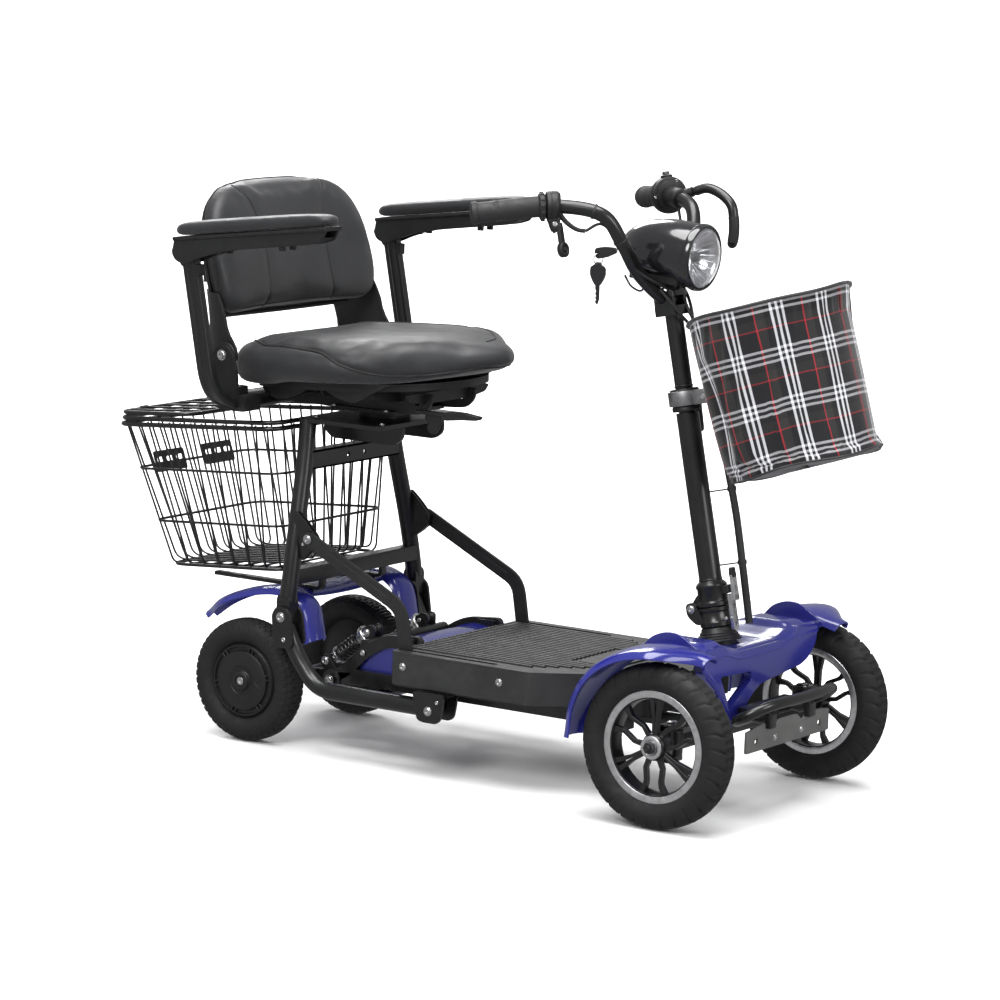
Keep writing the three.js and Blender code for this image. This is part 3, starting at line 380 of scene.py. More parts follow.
# ---- materials ------------------------------------------------------------------------------
class Nodes:
    """A material's node tree, with one Principled shader."""

    def __init__(self, name, roughness=0.5, metallic=0.0, **sockets):
        self.material = bpy.data.materials.new(name)
        self.material.use_nodes = True
        self.tree = self.material.node_tree
        self.shader = self.tree.nodes["Principled BSDF"]
        self.shader.inputs["Roughness"].default_value = roughness
        self.shader.inputs["Metallic"].default_value = metallic
        for key, value in sockets.items():
            self.shader.inputs[key.replace("_", " ")].default_value = value
        self.where = self.tree.nodes.new("ShaderNodeTexCoord").outputs["Object"]

    def node(self, kind, inputs=None, **settings):
        made = self.tree.nodes.new(kind)
        for key, value in settings.items():
            setattr(made, key, value)
        for key, value in (inputs or {}).items():
            if isinstance(value, bpy.types.NodeSocket):
                self.tree.links.new(value, made.inputs[key])
            else:
                made.inputs[key].default_value = value
        return made

    def math(self, operation, a, b=0.0, clamp=False):
        return self.node("ShaderNodeMath", {0: a, 1: b}, operation=operation, use_clamp=clamp).outputs[0]

    def noise(self, scale, detail=3.0, where=None, roughness=0.5):
        made = self.node("ShaderNodeTexNoise", {"Vector": where or self.where, "Scale": scale,
                                                "Detail": detail,
                                                "Roughness": roughness})
        return made.outputs["Fac"]

    def ramp(self, value, stops):
        made = self.node("ShaderNodeValToRGB", {"Fac": value})
        band = made.color_ramp
        while len(band.elements) < len(stops):
            band.elements.new(0.5)
        for element, (at, color) in zip(band.elements, stops):
            element.position = at
            element.color = (*color, 1.0)
        return made.outputs["Color"]

    def spread(self, value, low, high, to_low, to_high):
        return self.node("ShaderNodeMapRange", {"Value": value, "From Min": low, "From Max": high,
                                                "To Min": to_low, "To Max": to_high}).outputs[0]

    def mix(self, factor, a, b, kind="MIX"):
        made = self.node("ShaderNodeMix", data_type="RGBA", blend_type=kind)
        for index, value in ((0, factor), (6, a), (7, b)):
            if isinstance(value, bpy.types.NodeSocket):
                self.tree.links.new(value, made.inputs[index])
            elif index == 0:
                made.inputs[index].default_value = value
            else:
                made.inputs[index].default_value = (*value, 1.0)
        return made.outputs[2]

    def colour(self, source):
        self.tree.links.new(source, self.shader.inputs["Base Color"])

    def rough(self, source):
        self.tree.links.new(source, self.shader.inputs["Roughness"])

    def bump(self, height, distance, strength=1.0):
        made = self.node("ShaderNodeBump", {"Height": height, "Distance": distance, "Strength": strength})
        self.tree.links.new(made.outputs["Normal"], self.shader.inputs["Normal"])


def shade(color, factor):
    return tuple(min(1.0, c * factor) for c in color)


def painted(name, color, roughness, metallic=0.0, grain=900.0, depth=0.00006, edge_highlight=0.5, vary=0.16,
            **sockets):
    """Paint or moulded plastic: mottled colour and gloss, a fine surface texture, and a painted highlight
    that lightens its sharp edges in patches.
    """
    n = Nodes(name, roughness, metallic, **sockets)
    base = n.ramp(n.noise(9.0), [(0.3, shade(color, 1 - vary)), (0.7, shade(color, 1 + vary))])
    # Painted highlight: pointiness lightens the colour along sharp edges, broken into patches by noise, in
    # place of the light that rounded edges catch.
    edge = n.node("ShaderNodeNewGeometry").outputs["Pointiness"]
    edges = n.spread(edge, 0.53, 0.62, 0.0, edge_highlight)
    patch = n.spread(n.noise(60.0, 4.0), 0.42, 0.62, 0.0, 1.0)
    painted_edge_highlight = n.math("MULTIPLY", edges, patch, clamp=True)
    n.colour(n.mix(painted_edge_highlight, base, shade(color, 3.0) if max(color) < 0.2 else shade(color, 1.35)))
    n.rough(n.spread(n.noise(35.0, 5.0), 0.3, 0.7, roughness * 0.82, min(1.0, roughness * 1.2)))
    n.bump(n.noise(grain, 2.0), depth)
    return n.material


def leather(name, color):
    """Vinyl with a fine pebbled grain and soft handling creases."""
    n = Nodes(name, 0.5, 0.0, Sheen_Weight=0.12, Sheen_Roughness=0.5)
    cells = n.node("ShaderNodeTexVoronoi", {"Vector": n.where, "Scale": 720.0},
                   feature="SMOOTH_F1").outputs["Distance"]
    base = n.ramp(n.noise(7.0, 4.0), [(0.32, shade(color, 0.82)), (0.7, shade(color, 1.25))])
    n.colour(n.mix(n.spread(cells, 0.1, 0.7, 0.0, 0.35), base, shade(color, 1.6)))
    n.rough(n.spread(n.noise(24.0, 5.0), 0.3, 0.7, 0.4, 0.58))
    grain = n.math("ADD", n.math("MULTIPLY", cells, 0.35), n.math("MULTIPLY", n.noise(26.0, 5.0), 1.1))
    n.bump(grain, 0.00035, 0.75)
    return n.material


def rubber(name, color, roughness=0.75):
    n = Nodes(name, roughness)
    dust = n.noise(14.0, 6.0)
    n.colour(n.ramp(dust, [(0.3, shade(color, 0.8)), (0.55, color), (0.8, shade(color, 1.7))]))
    n.rough(n.spread(n.noise(50.0, 4.0), 0.3, 0.7, roughness - 0.1, roughness + 0.12))
    n.bump(n.noise(1400.0, 2.0), 0.00008)
    return n.material


def metal(name, color, roughness=0.28, brushed=None):
    """Bare or machined metal; brushed turns the grain into fine rings or lines along an axis."""
    n = Nodes(name, roughness, 1.0)
    where = n.where
    if brushed is not None:
        where = n.node("ShaderNodeMapping", {"Vector": n.where, "Scale": brushed}).outputs["Vector"]
    grain = n.noise(120.0, 4.0, where)
    n.colour(n.ramp(grain, [(0.3, shade(color, 0.82)), (0.7, shade(color, 1.12))]))
    n.rough(n.spread(n.noise(40.0, 4.0), 0.3, 0.7, roughness * 0.8, roughness * 1.35))
    n.bump(grain, 0.00004)
    return n.material


def plaid(name):
    """Twill weave: white triplets and thin red lines on black, laid out by the cloth's UV in metres."""
    n = Nodes(name, 0.85, 0.0, Sheen_Weight=0.25, Sheen_Roughness=0.4)
    uv = n.node("ShaderNodeUVMap", uv_map="UVMap").outputs["UV"]
    split = n.node("ShaderNodeSeparateXYZ", {"Vector": uv})
    threads = []
    for axis, shift in (("X", 0.012), ("Y", 0.03)):
        run = n.math("FRACT", n.math("DIVIDE", n.math("ADD", split.outputs[axis], shift), PLAID_REPEAT))
        made = n.node("ShaderNodeValToRGB", {"Fac": run})
        band = made.color_ramp
        band.interpolation = "CONSTANT"
        stops = PLAID_STRIPES
        while len(band.elements) < len(stops):
            band.elements.new(0.5)
        for element, (at, color) in zip(band.elements, stops):
            element.position = at
            element.color = (*color, 1.0)
        threads.append(made.outputs["Color"])
    diagonal = n.math("ADD", split.outputs["X"], split.outputs["Y"])
    twill = n.math("FRACT", n.math("MULTIPLY", diagonal, 620.0))
    over = n.math("ADD", n.math("MULTIPLY", n.math("GREATER_THAN", twill, 0.5), 0.44), 0.14)
    cloth = n.mix(over, threads[0], threads[1])
    tone = n.ramp(n.noise(14.0, 5.0), [(0.3, (0.78, 0.78, 0.78)), (0.7, (1.0, 1.0, 1.0))])
    n.colour(n.mix(1.0, cloth, tone, "MULTIPLY"))
    n.bump(n.math("ADD", n.math("MULTIPLY", twill, 0.5), n.noise(1500.0, 2.0)), 0.00015, 0.8)
    return n.material


PLAID_REPEAT = 0.076
BLACK_CLOTH, SHADE_CLOTH, WHITE_CLOTH, RED_CLOTH = (0.004, 0.004, 0.006), (0.02, 0.018, 0.017), (0.72, 0.72,
        0.76), (0.4, 0.008, 0.02)
PLAID_STRIPES = [
    (0.0, BLACK_CLOTH), (0.19, RED_CLOTH), (0.215, SHADE_CLOTH), (0.40, BLACK_CLOTH), (0.53, WHITE_CLOTH),
    (0.582, BLACK_CLOTH),
    (0.645, WHITE_CLOTH), (0.697, BLACK_CLOTH), (0.76, WHITE_CLOTH), (0.812, BLACK_CLOTH),
]

BLACK_PAINT = painted("black_paint", (0.005, 0.0052, 0.0056), 0.32, 0.0, grain=700.0, depth=0.00003,
                      Coat_Weight=0.35,
                      Coat_Roughness=0.2)
MATT_PAINT = painted("satin_black_paint", (0.011, 0.0112, 0.012), 0.46, 0.0, grain=1100.0, depth=0.00005)
MOULDED = painted("moulded_black_plastic", (0.007, 0.0072, 0.0078), 0.46, 0.0, grain=1500.0, depth=0.00009)
GLOSS = painted("gloss_black_plastic", (0.009, 0.009, 0.011), 0.16, 0.0, grain=120.0, depth=0.00002,
                edge_highlight=0.15,
                Coat_Weight=0.8, Coat_Roughness=0.06)
DECKING = painted("deck_grey_plastic", (0.017, 0.0172, 0.018), 0.52, 0.0, grain=1300.0, depth=0.00012)
BLUE = painted("blue_gloss", (0.018, 0.021, 0.2), 0.22, 0.0, grain=90.0, depth=0.00002, edge_highlight=0.25,
               vary=0.05,
               Coat_Weight=0.7, Coat_Roughness=0.08)
TYRE = rubber("tyre_rubber", (0.006, 0.006, 0.0063))
GRIP_RUBBER = rubber("grip_rubber", (0.013, 0.013, 0.014), 0.6)
CABLE = rubber("cable_sleeve", (0.012, 0.012, 0.013), 0.5)
VINYL = leather("seat_vinyl", (0.011, 0.0114, 0.013))
THREAD = rubber("seam_thread", (0.012, 0.012, 0.013), 0.7)
SILVER = metal("bright_steel", (0.7, 0.7, 0.71), 0.25)
ALLOY = metal("machined_alloy", (0.82, 0.82, 0.84), 0.3)
GREY_STEEL = metal("grey_steel", (0.34, 0.34, 0.35), 0.42)
DARK_STEEL = metal("dark_steel", (0.09, 0.09, 0.095), 0.45)
PLATE_GREY = painted("bumper_plate_grey", (0.1, 0.1, 0.098), 0.5, 0.2, grain=900.0, depth=0.00005)
PLAID = plaid("plaid_cloth")


def clear_lens():
    n = Nodes("clear_lens", 0.05, 0.0, Transmission_Weight=0.95, IOR=1.45)
    n.colour(n.ramp(n.noise(12.0), [(0.0, (0.93, 0.95, 0.97)), (1.0, (0.99, 0.99, 1.0))]))
    n.bump(n.noise(60.0, 2.0), 0.00005, 0.4)
    return n.material


def chrome():
    n = Nodes("reflector_chrome", 0.12, 1.0)
    n.colour(n.ramp(n.noise(80.0), [(0.3, (0.72, 0.72, 0.74)), (0.7, (0.9, 0.9, 0.92))]))
    n.bump(n.noise(160.0, 3.0), 0.0002, 0.4)
    return n.material


LENS = clear_lens()
CHROME = chrome()


# ---- wheels ---------------------------------------------------------------------------------
def tyre_section(radius, half, bead, steps=13):
    """One side's profile from bead to crown, as (radius, across) pairs."""
    rise = radius - bead
    points = [(bead, half * 0.62), (bead + rise * 0.08, half * 0.8), (bead + rise * 0.2, half * 0.93)]
    for k in range(steps + 1):
        t = k / steps
        angle = t * math.pi / 2
        points.append((bead + rise * 0.36 + rise * 0.64 * math.sin(angle) ** 0.92, half
                       * math.cos(angle) ** 0.62))
    return points


def add_tyre(name, body, centre, radius, half, bead, pattern, segments=432):
    side = tyre_section(radius, half, bead)
    profile = [(r, w) for r, w in side[:-1]] + [(radius, 0.0)] + [(r, -w) for r, w in reversed(side[:-1])]
    profile += [(bead - 2, -half * 0.55), (bead - 2, half * 0.55)]
    count = len(profile)
    verts, faces = [], []
    for k in range(segments):
        angle = 2 * math.pi * k / segments
        for r, w in profile:
            r -= pattern(angle, r, w)
            verts.append((centre[0] + r * math.sin(angle), centre[1] + w, centre[2] + r * math.cos(angle)))
    for k in range(segments):
        j = (k + 1) % segments
        for i in range(count):
            q = (i + 1) % count
            faces.append((k * count + i, k * count + q, j * count + q, j * count + i))
    shape = Shape().add((verts, faces))
    return shape.build(name, body, [TYRE], "tyre", [name.replace("_tread", "")], angle=60)


def groove(value, width):
    """1 inside a groove of a repeating 0..1 value, 0 outside, with sloped walls."""
    away = abs(value - math.floor(value) - 0.5)
    return max(0.0, min(1.0, (width - away) / (width * 0.45)))


def front_tread(angle, r, w):
    if r < FRONT_R * 0.83:
        return 0.0
    side = 1 if w >= 0 else -1
    bars = groove(angle * 30 / (2 * math.pi) + abs(w) * 0.022 + (0.25 if side > 0 else 0.0),
                  0.085) if abs(w) > 5 else 0.0
    zigzag = groove((abs(w) - 6 - 1.6 * math.sin(angle * 60)) / 40 + 0.5, 0.045)
    return FRONT_TREAD_DEPTH * max(bars, zigzag)


def rear_tread(angle, r, w):
    if r < REAR_R * 0.84:
        return 0.0
    row = round(w / 8.0)
    across = groove(w / 8.0, 0.16)
    along = groove(angle * 48 / (2 * math.pi) + 0.5 * (row % 2), 0.13)
    return REAR_TREAD_DEPTH * max(across, along)


FRONT_R, FRONT_HALF, FRONT_Y = 127.0, 27.0, 236.5
REAR_R, REAR_HALF, REAR_Y, REAR_X = 101.0, 25.0, 146.5, -421.0


def spoke(shape, centre, across, path, widths, depth, mat):
    """A cast spoke following (radius, turn in degrees) points, standing in the wheel's plane."""
    left, right = [], []
    flat = [(r * math.sin(math.radians(a)), r * math.cos(math.radians(a))) for r, a in path]
    for i, (x, z) in enumerate(flat):
        a, b = np.array(flat[max(i - 1, 0)]), np.array(flat[min(i + 1, len(flat) - 1)])
        d = (b - a) / np.linalg.norm(b - a)
        left.append((x - d[1] * widths[i] / 2, z + d[0] * widths[i] / 2))
        right.append((x + d[1] * widths[i] / 2, z - d[0] * widths[i] / 2))
    outline = [(centre[0] + x, centre[2] + z) for x, z in left + right[::-1]]
    shape.add(plate(outline, "xz", centre[1] + across - depth / 2, centre[1] + across + depth / 2), mat)


def add_front_wheel(side_name, s):
    centre = (FRONT_AXLE_X, s * FRONT_Y, FRONT_R)
    body = f"front_wheel_{side_name}"
    add_tyre(f"front_tyre_{side_name}_tread", body, centre, FRONT_R, FRONT_HALF, 87.0, front_tread)
    rim = Shape()
    out = vec(0, s, 0)
    # Drop-centre barrel, black, with a machined band on both faces.
    rim.add(lathe([(74, -15), (80, -17), (86.5, -16.5), (87.5, -14), (83, -6), (79, 0), (83, 6), (87.5, 14),
                   (86.5, 16.5),
                   (80, 17), (74, 15), (72.5, 8), (72, 0), (72.5, -8)], 72, centre, out, closed=True), 0)
    for face in (1, -1):
        rim.add(lathe([(75.5, face * 16.4), (79.5, face * 17.6), (86.2, face * 17.4), (88.0, face * 15.6),
                       (88.6, face * 13.0),
                       (86.0, face * 12.5), (76, face * 15.0)], 96, centre, out, closed=True), 1)
    for i in range(9):
        turn = 40 * i
        if i % 3 == 0:
            for shift in (-3.6, 3.6):
                spoke(rim, centre, 8 * s, [(18, turn + shift * 2.2), (45, turn + shift),
                                           (76, turn + shift * 1.5)], [5, 5.2, 9], 9, 0)
        else:
            lean = 7 if i % 3 == 1 else -7
            spoke(rim, centre, 8 * s, [(18, turn - lean * 0.9), (36, turn - lean * 0.6),
                                       (54, turn + lean * 0.9),
                                       (60, turn + lean), (76, turn + lean * 0.55)], [8, 6.5, 6.5, 7, 10.5],
                                       9, 0)
    rim.add(lathe([(8.6, -12), (20, -12), (21.5, -8), (21.5, 12), (19, 17), (16.5, 19), (8.6, 19)], 48,
                  centre, out, closed=True), 0)
    rim.add(lathe([(8.8, 18), (17, 18), (18.2, 19.5), (18.2, 21.4), (16, 22.4), (12.5, 22.6), (11.5, 21.2),
                   (8.8, 21.2)],
                  48, centre, out, closed=True), 1)
    rim.build(f"front_wheel_rim_{side_name}", body, [BLACK_PAINT, ALLOY], "rim_alloy",
              [f"front_rim_{side_name}"], bevel=0.8)


def add_rear_wheel(side_name, s):
    centre = (REAR_X, s * REAR_Y, REAR_R)
    body = f"rear_wheel_{side_name}"
    add_tyre(f"rear_tyre_{side_name}_tread", body, centre, REAR_R, REAR_HALF, 63.0, rear_tread,
             segments=480)
    out = vec(0, s, 0)
    hub = Shape()
    hub.add(lathe([(0, -20), (44, -20), (46, -19), (60, -15.5), (62.8, -13), (62.8, 13), (61.6, 16),
                   (58.5, 19.4), (56, 19.8),
                   (55, 16.4), (49.5, 16.4), (48.6, 20.6), (46.5, 21.8), (24, 22), (23, 21), (17.5, 21),
                   (16.5, 22),
                   (15.4, 25.6), (13.6, 26.8), (9.0, 26.8), (8.6, 24.4), (0, 24.4)], 96, centre, out), 0)
    for i in range(6):
        for shift in (-4.2, 4.2):
            angle = math.radians(60 * i + 18 + shift)
            at = vec(centre[0] + 52 * math.sin(angle), centre[1] + s * 18, centre[2] + 52 * math.cos(angle))
            radial = vec(math.sin(angle), 0, math.cos(angle))
            hub.add(sweep([at - radial * 5.5, at + radial * 5.5], rounded_rect(1.3, 2.6, 0.8, 2),
                          side=np.cross(out, radial)), 0)
    for angle in (100, 148, 205):
        a = math.radians(angle)
        at = vec(centre[0] + 34 * math.sin(a), centre[1] + s * 21.9, centre[2] + 34 * math.cos(a))
        along = vec(math.sin(a + 0.6), 0, math.cos(a + 0.6))
        hub.add(tube([at - along * 9, at, at + along * 9 + vec(2, 0, 3)], 0.8, 8), 0)
    hub.add(lathe([(0, 23.5), (6.6, 23.5), (6.6, 25.6), (4.2, 26.4), (3.0, 26.4), (2.6, 24.6), (0, 24.6)],
                  24, centre, out), 1)
    hub.build(f"rear_motor_cover_{side_name}", body, [MOULDED, SILVER], "black_plastic",
              [f"rear_hub_motor_{side_name}"], bevel=0.4)


for side_name, s in SIDES:
    add_front_wheel(side_name, s)
    add_rear_wheel(side_name, s)


# ---- blue bodywork --------------------------------------------------------------------------
def smooth_step(t):
    t = max(0.0, min(1.0, t))
    return t * t * (3 - 2 * t)


def fender_grid(path, y_inner, y_outer, wheel, crown, curl, front_cut, tail_end=0.0, across=17, along=72):
    """A curved guard over a wheel; its outer edge runs in towards the front tip by front_cut."""
    p = spline([(x, 0, z) for x, z in path], along)
    grid = []
    for i, q in enumerate(p):
        t = i / (along - 1)
        out = unit(vec(q[0] - wheel[0], 0, q[2] - wheel[1]))
        outer = y_outer + (y_inner - y_outer) * front_cut * smooth_step((t - 0.72) / 0.28) ** 1.6
        tail = smooth_step((tail_end - t) / max(tail_end, 1e-6))
        outer += (y_inner - y_outer) * 0.16 * tail
        inner = y_inner + (y_outer - y_inner) * 0.34 * tail
        row = []
        for k in range(across):
            u = -1 + 2 * k / (across - 1)
            y = (inner + outer) / 2 + u * (outer - inner) / 2
            lift = crown * (1 - abs(u) ** 2.6) - curl * max(0.0, (abs(u) - 0.86) / 0.14) ** 1.5
            row.append(vec(q[0], y, q[2]) + out * lift)
        grid.append(row)
    return grid


def grid_part(grid, skip=None, closed=False):
    rows, cols = len(grid), len(grid[0])
    verts = [tuple(v) for row in grid for v in row]
    faces = []
    for i in range(rows if closed else rows - 1):
        j = (i + 1) % rows
        for k in range(cols - 1):
            corners = (grid[i][k], grid[i][k + 1], grid[j][k + 1], grid[j][k])
            if skip is None or not skip(sum(np.asarray(c, float) for c in corners) / 4):
                faces.append((i * cols + k, i * cols + k + 1, j * cols + k + 1, j * cols + k))
    return verts, faces


def thicken(piece, thickness, offset=0.0, rim_bevel=0.8):
    mod = piece.modifiers.new("sheet", "SOLIDIFY")
    mod.thickness = thickness / 1000
    mod.offset = offset
    mod.use_even_offset = True
    if rim_bevel:
        add_bevel(piece, rim_bevel)
    return piece


FRONT_GUARD = [(272, 122), (282, 172), (314, 226), (360, 257), (421, 270), (486, 257)]
REAR_GUARD = [(-526, 189), (-488, 216), (-441, 237), (-390, 250), (-350, 251), (-316, 232), (-300, 176)]

for side_name, s in SIDES:
    fender = Shape()
    fender.add(grid_part(fender_grid(FRONT_GUARD, s * 180, s * 281, (FRONT_AXLE_X, FRONT_R), 9.0, 5.0, 0.62,
                                     tail_end=0.34)))
    piece = fender.build(f"front_fender_shell_{side_name}", "main_frame", [BLUE], "blue_paint",
                         [f"front_fender_{side_name}"])
    thicken(piece, 3.4)
    fin = Shape()
    blade = rounded([(338, 250), (352, 262), (368, 281), (392, 291), (418, 290), (440, 277), (466, 262),
                     (452, 252), (400, 262)], 14, 6)
    fin.add(plate(blade, "xz", s * 181 - 2.4, s * 181 + 2.4))
    fin.build(f"front_fender_fin_{side_name}", "main_frame", [BLUE], "blue_paint", bevel=1.8)


def hood_height(x, y):
    """Top of the bodywork that joins the two front fenders."""
    side = smooth_step((abs(y) - 52) / 60)
    shoulder = 247 + 17 * side
    front = 5 * smooth_step((x - 415) / 30) * (1 - side)
    pad = 7 * smooth_step((abs(y) - 96) / 14) * smooth_step((158 - abs(y)) / 14) * smooth_step((x
            - 362) / 14) * smooth_step((446 - x) / 12)
    return shoulder + front + pad


def add_front_fairing():
    xs = [342, 350, 358, 364, 368, 372, 376, 380, 386, 392, 400, 408, 416, 424, 432, 438, 442, 446, 450,
          453, 455]
    grid = []
    for x in xs:
        drop = 14 * max(0.0, (x - 444) / 11) ** 2 + 10 * max(0.0, (352 - x) / 10) ** 2
        grid.append([vec(x, y, hood_height(x, y) - drop) for y in np.linspace(-178, 178, 73)])
    hood = Shape().add(grid_part(grid, skip=lambda c: math.hypot(c[0] - 380.5, c[1]) < 28))
    thicken(hood.build("front_fairing_hood", "main_frame", [BLUE], "blue_paint", ["front_fairing"],
                       angle=60), 4.0, rim_bevel=1.2)
    saddle = Shape()
    edge = rounded([(-178, 262), (-172, 232), (-150, 212), (-126, 196), (-88, 136), (-72, 136), (-18, 180),
                    (8, 192), (70, 198),
                    (128, 204), (150, 212), (172, 232), (178, 262), (112, 268), (92, 251), (-92, 251),
                    (-112, 268)], 7, 4)
    window = rounded([(-118, 219), (-86, 164), (-22, 204), (-26, 215)], 7, 4)
    saddle.add(plate(edge, "yz", 441, 455, [window]))
    saddle.add(sweep([(450, -80, 140), (449, -128, 204), (448, -170, 240)], rounded_rect(5, 10, 3.5),
                     side=(0, 0, 1)))
    saddle.build("front_fairing_brace", "main_frame", [BLUE], "blue_paint", bevel=2.6)


def add_rear_fender():
    shell = Shape()
    for _, s in SIDES:
        grid = fender_grid(REAR_GUARD[::-1], s * 103, s * 158, (REAR_X, REAR_R), 8.0, 4.0, 0.55)
        shell.add(grid_part(grid))
    arch = []
    for x in np.linspace(-404, -336, 12):
        t = (x + 370) / 34
        arch.append([vec(x, y, 249 - 5 * t * t - 6 * max(0, abs(t) - 0.6) ** 2 * 6 + 5
                         * (abs(y) / 104) ** 2) for y in np.linspace(-108, 108, 25)])
    shell.add(grid_part(arch))
    thicken(shell.build("rear_fender_shell", "main_frame", [BLUE], "blue_paint", ["rear_fender"], angle=50),
            3.4)
    # Blue body panels behind the deck, under the curved frame bars.
    body = Shape()
    hood = rounded([(-113, 120), (-113, 190), (-150, 195), (-184, 186), (-214, 160), (-236, 132),
                    (-236, 120)], 16, 6)
    for _, s in SIDES:
        body.add(plate(hood, "xz", *sorted((s * 103, s * 109))))
    rows = []
    for x, z in [(-113, 189), (-130, 192), (-150, 193), (-170, 188), (-188, 178), (-203, 164), (-212, 156)]:
        rows.append([vec(x, y, z - 3.5 * (abs(y) / 106) ** 4 + 1.5 * math.cos(y / 106 * math.pi / 2))
                     for y in np.linspace(-108, 108, 25)])
    body.add(grid_part(rows))
    piece = body.build("rear_body_panels", "main_frame", [BLUE], "blue_paint", ["rear_fairing"], angle=50)
    thicken(piece, 1.6, rim_bevel=0.0)


add_front_fairing()
add_rear_fender()


# ---- deck and chassis -----------------------------------------------------------------------
DECK_EDGE = [(-112, -187), (150, -187), (235, -125), (330, -125), (330, 125), (235, 125), (150, 187),
             (-112, 187)]


def add_deck():
    deck = Shape()
    rim = rounded(DECK_EDGE, 10, 4)
    slots = [[(-118 + 8, s * 166 - 5), (78, s * 166 - 5), (78, s * 166 + 5), (-118 + 8, s * 166 + 5)] for _,
             s in SIDES]
    slots = [rounded(q, 4.5, 3) for q in slots]
    deck.add(plate(rim, "xy", 191, 195, slots), 0)
    inner = rounded([(x * 0.992 if abs(x) > 200 else x, y * 0.985) for x, y in DECK_EDGE], 9, 4)
    deck.add(skirt(rim, inner, 142, 191.5), 0)
    # Ribs run fore and aft, and stop short of the smooth plate at the front.
    for k in range(-12, 13):
        y = k * 12.2
        if 160 < abs(y) < 172:
            continue
        start, end = -104, (206 if abs(y) < 92 else 204 - (abs(y) - 92) * 1.35)
        if abs(y) < 62:
            end = 150
        deck.add(sweep([(start, y, 195.2), (end, y, 195.2)], rounded_rect(3.4, 2.5, 1.6, 3),
                       side=(0, 1, 0)), 0)
    deck.add(plate(rounded([(162, -66), (222, -66), (232, -54), (232, 54), (222, 66), (162, 66)], 8, 4),
                   "xy", 194.5, 197.6), 0)
    for x, y in ((250, 96), (250, -96), (312, 100), (312, -100)):
        deck.add(lathe([(0, 0), (7.5, 0), (8.2, 0.6), (8.2, 1.4), (6.5, 2.2), (0, 2.2)], 24, (x, y, 194.8),
                       (0, 0, 1)), 0)
    for _, s in SIDES:
        for x in (-88, 96):
            deck.bolt((x, s * 187, 172), (0, s, 0), 5.0)
    deck.build("deck_cover", "main_frame", [DECKING, SILVER], "grey_plastic", ["deck_top"], bevel=1.2)


def skirt(outer, inner, low, high):
    """A wall that follows an outline, between two heights."""
    n = len(outer)
    verts = [(q[0], q[1], z) for ring, z in ((outer, high), (outer, low), (inner, low), (inner, high))
             for q in ring]
    faces = []
    for r in range(4):
        q = (r + 1) % 4
        faces.extend((r * n + i, r * n + (i + 1) % n, q * n + (i + 1) % n, q * n + i) for i in range(n))
    return verts, faces


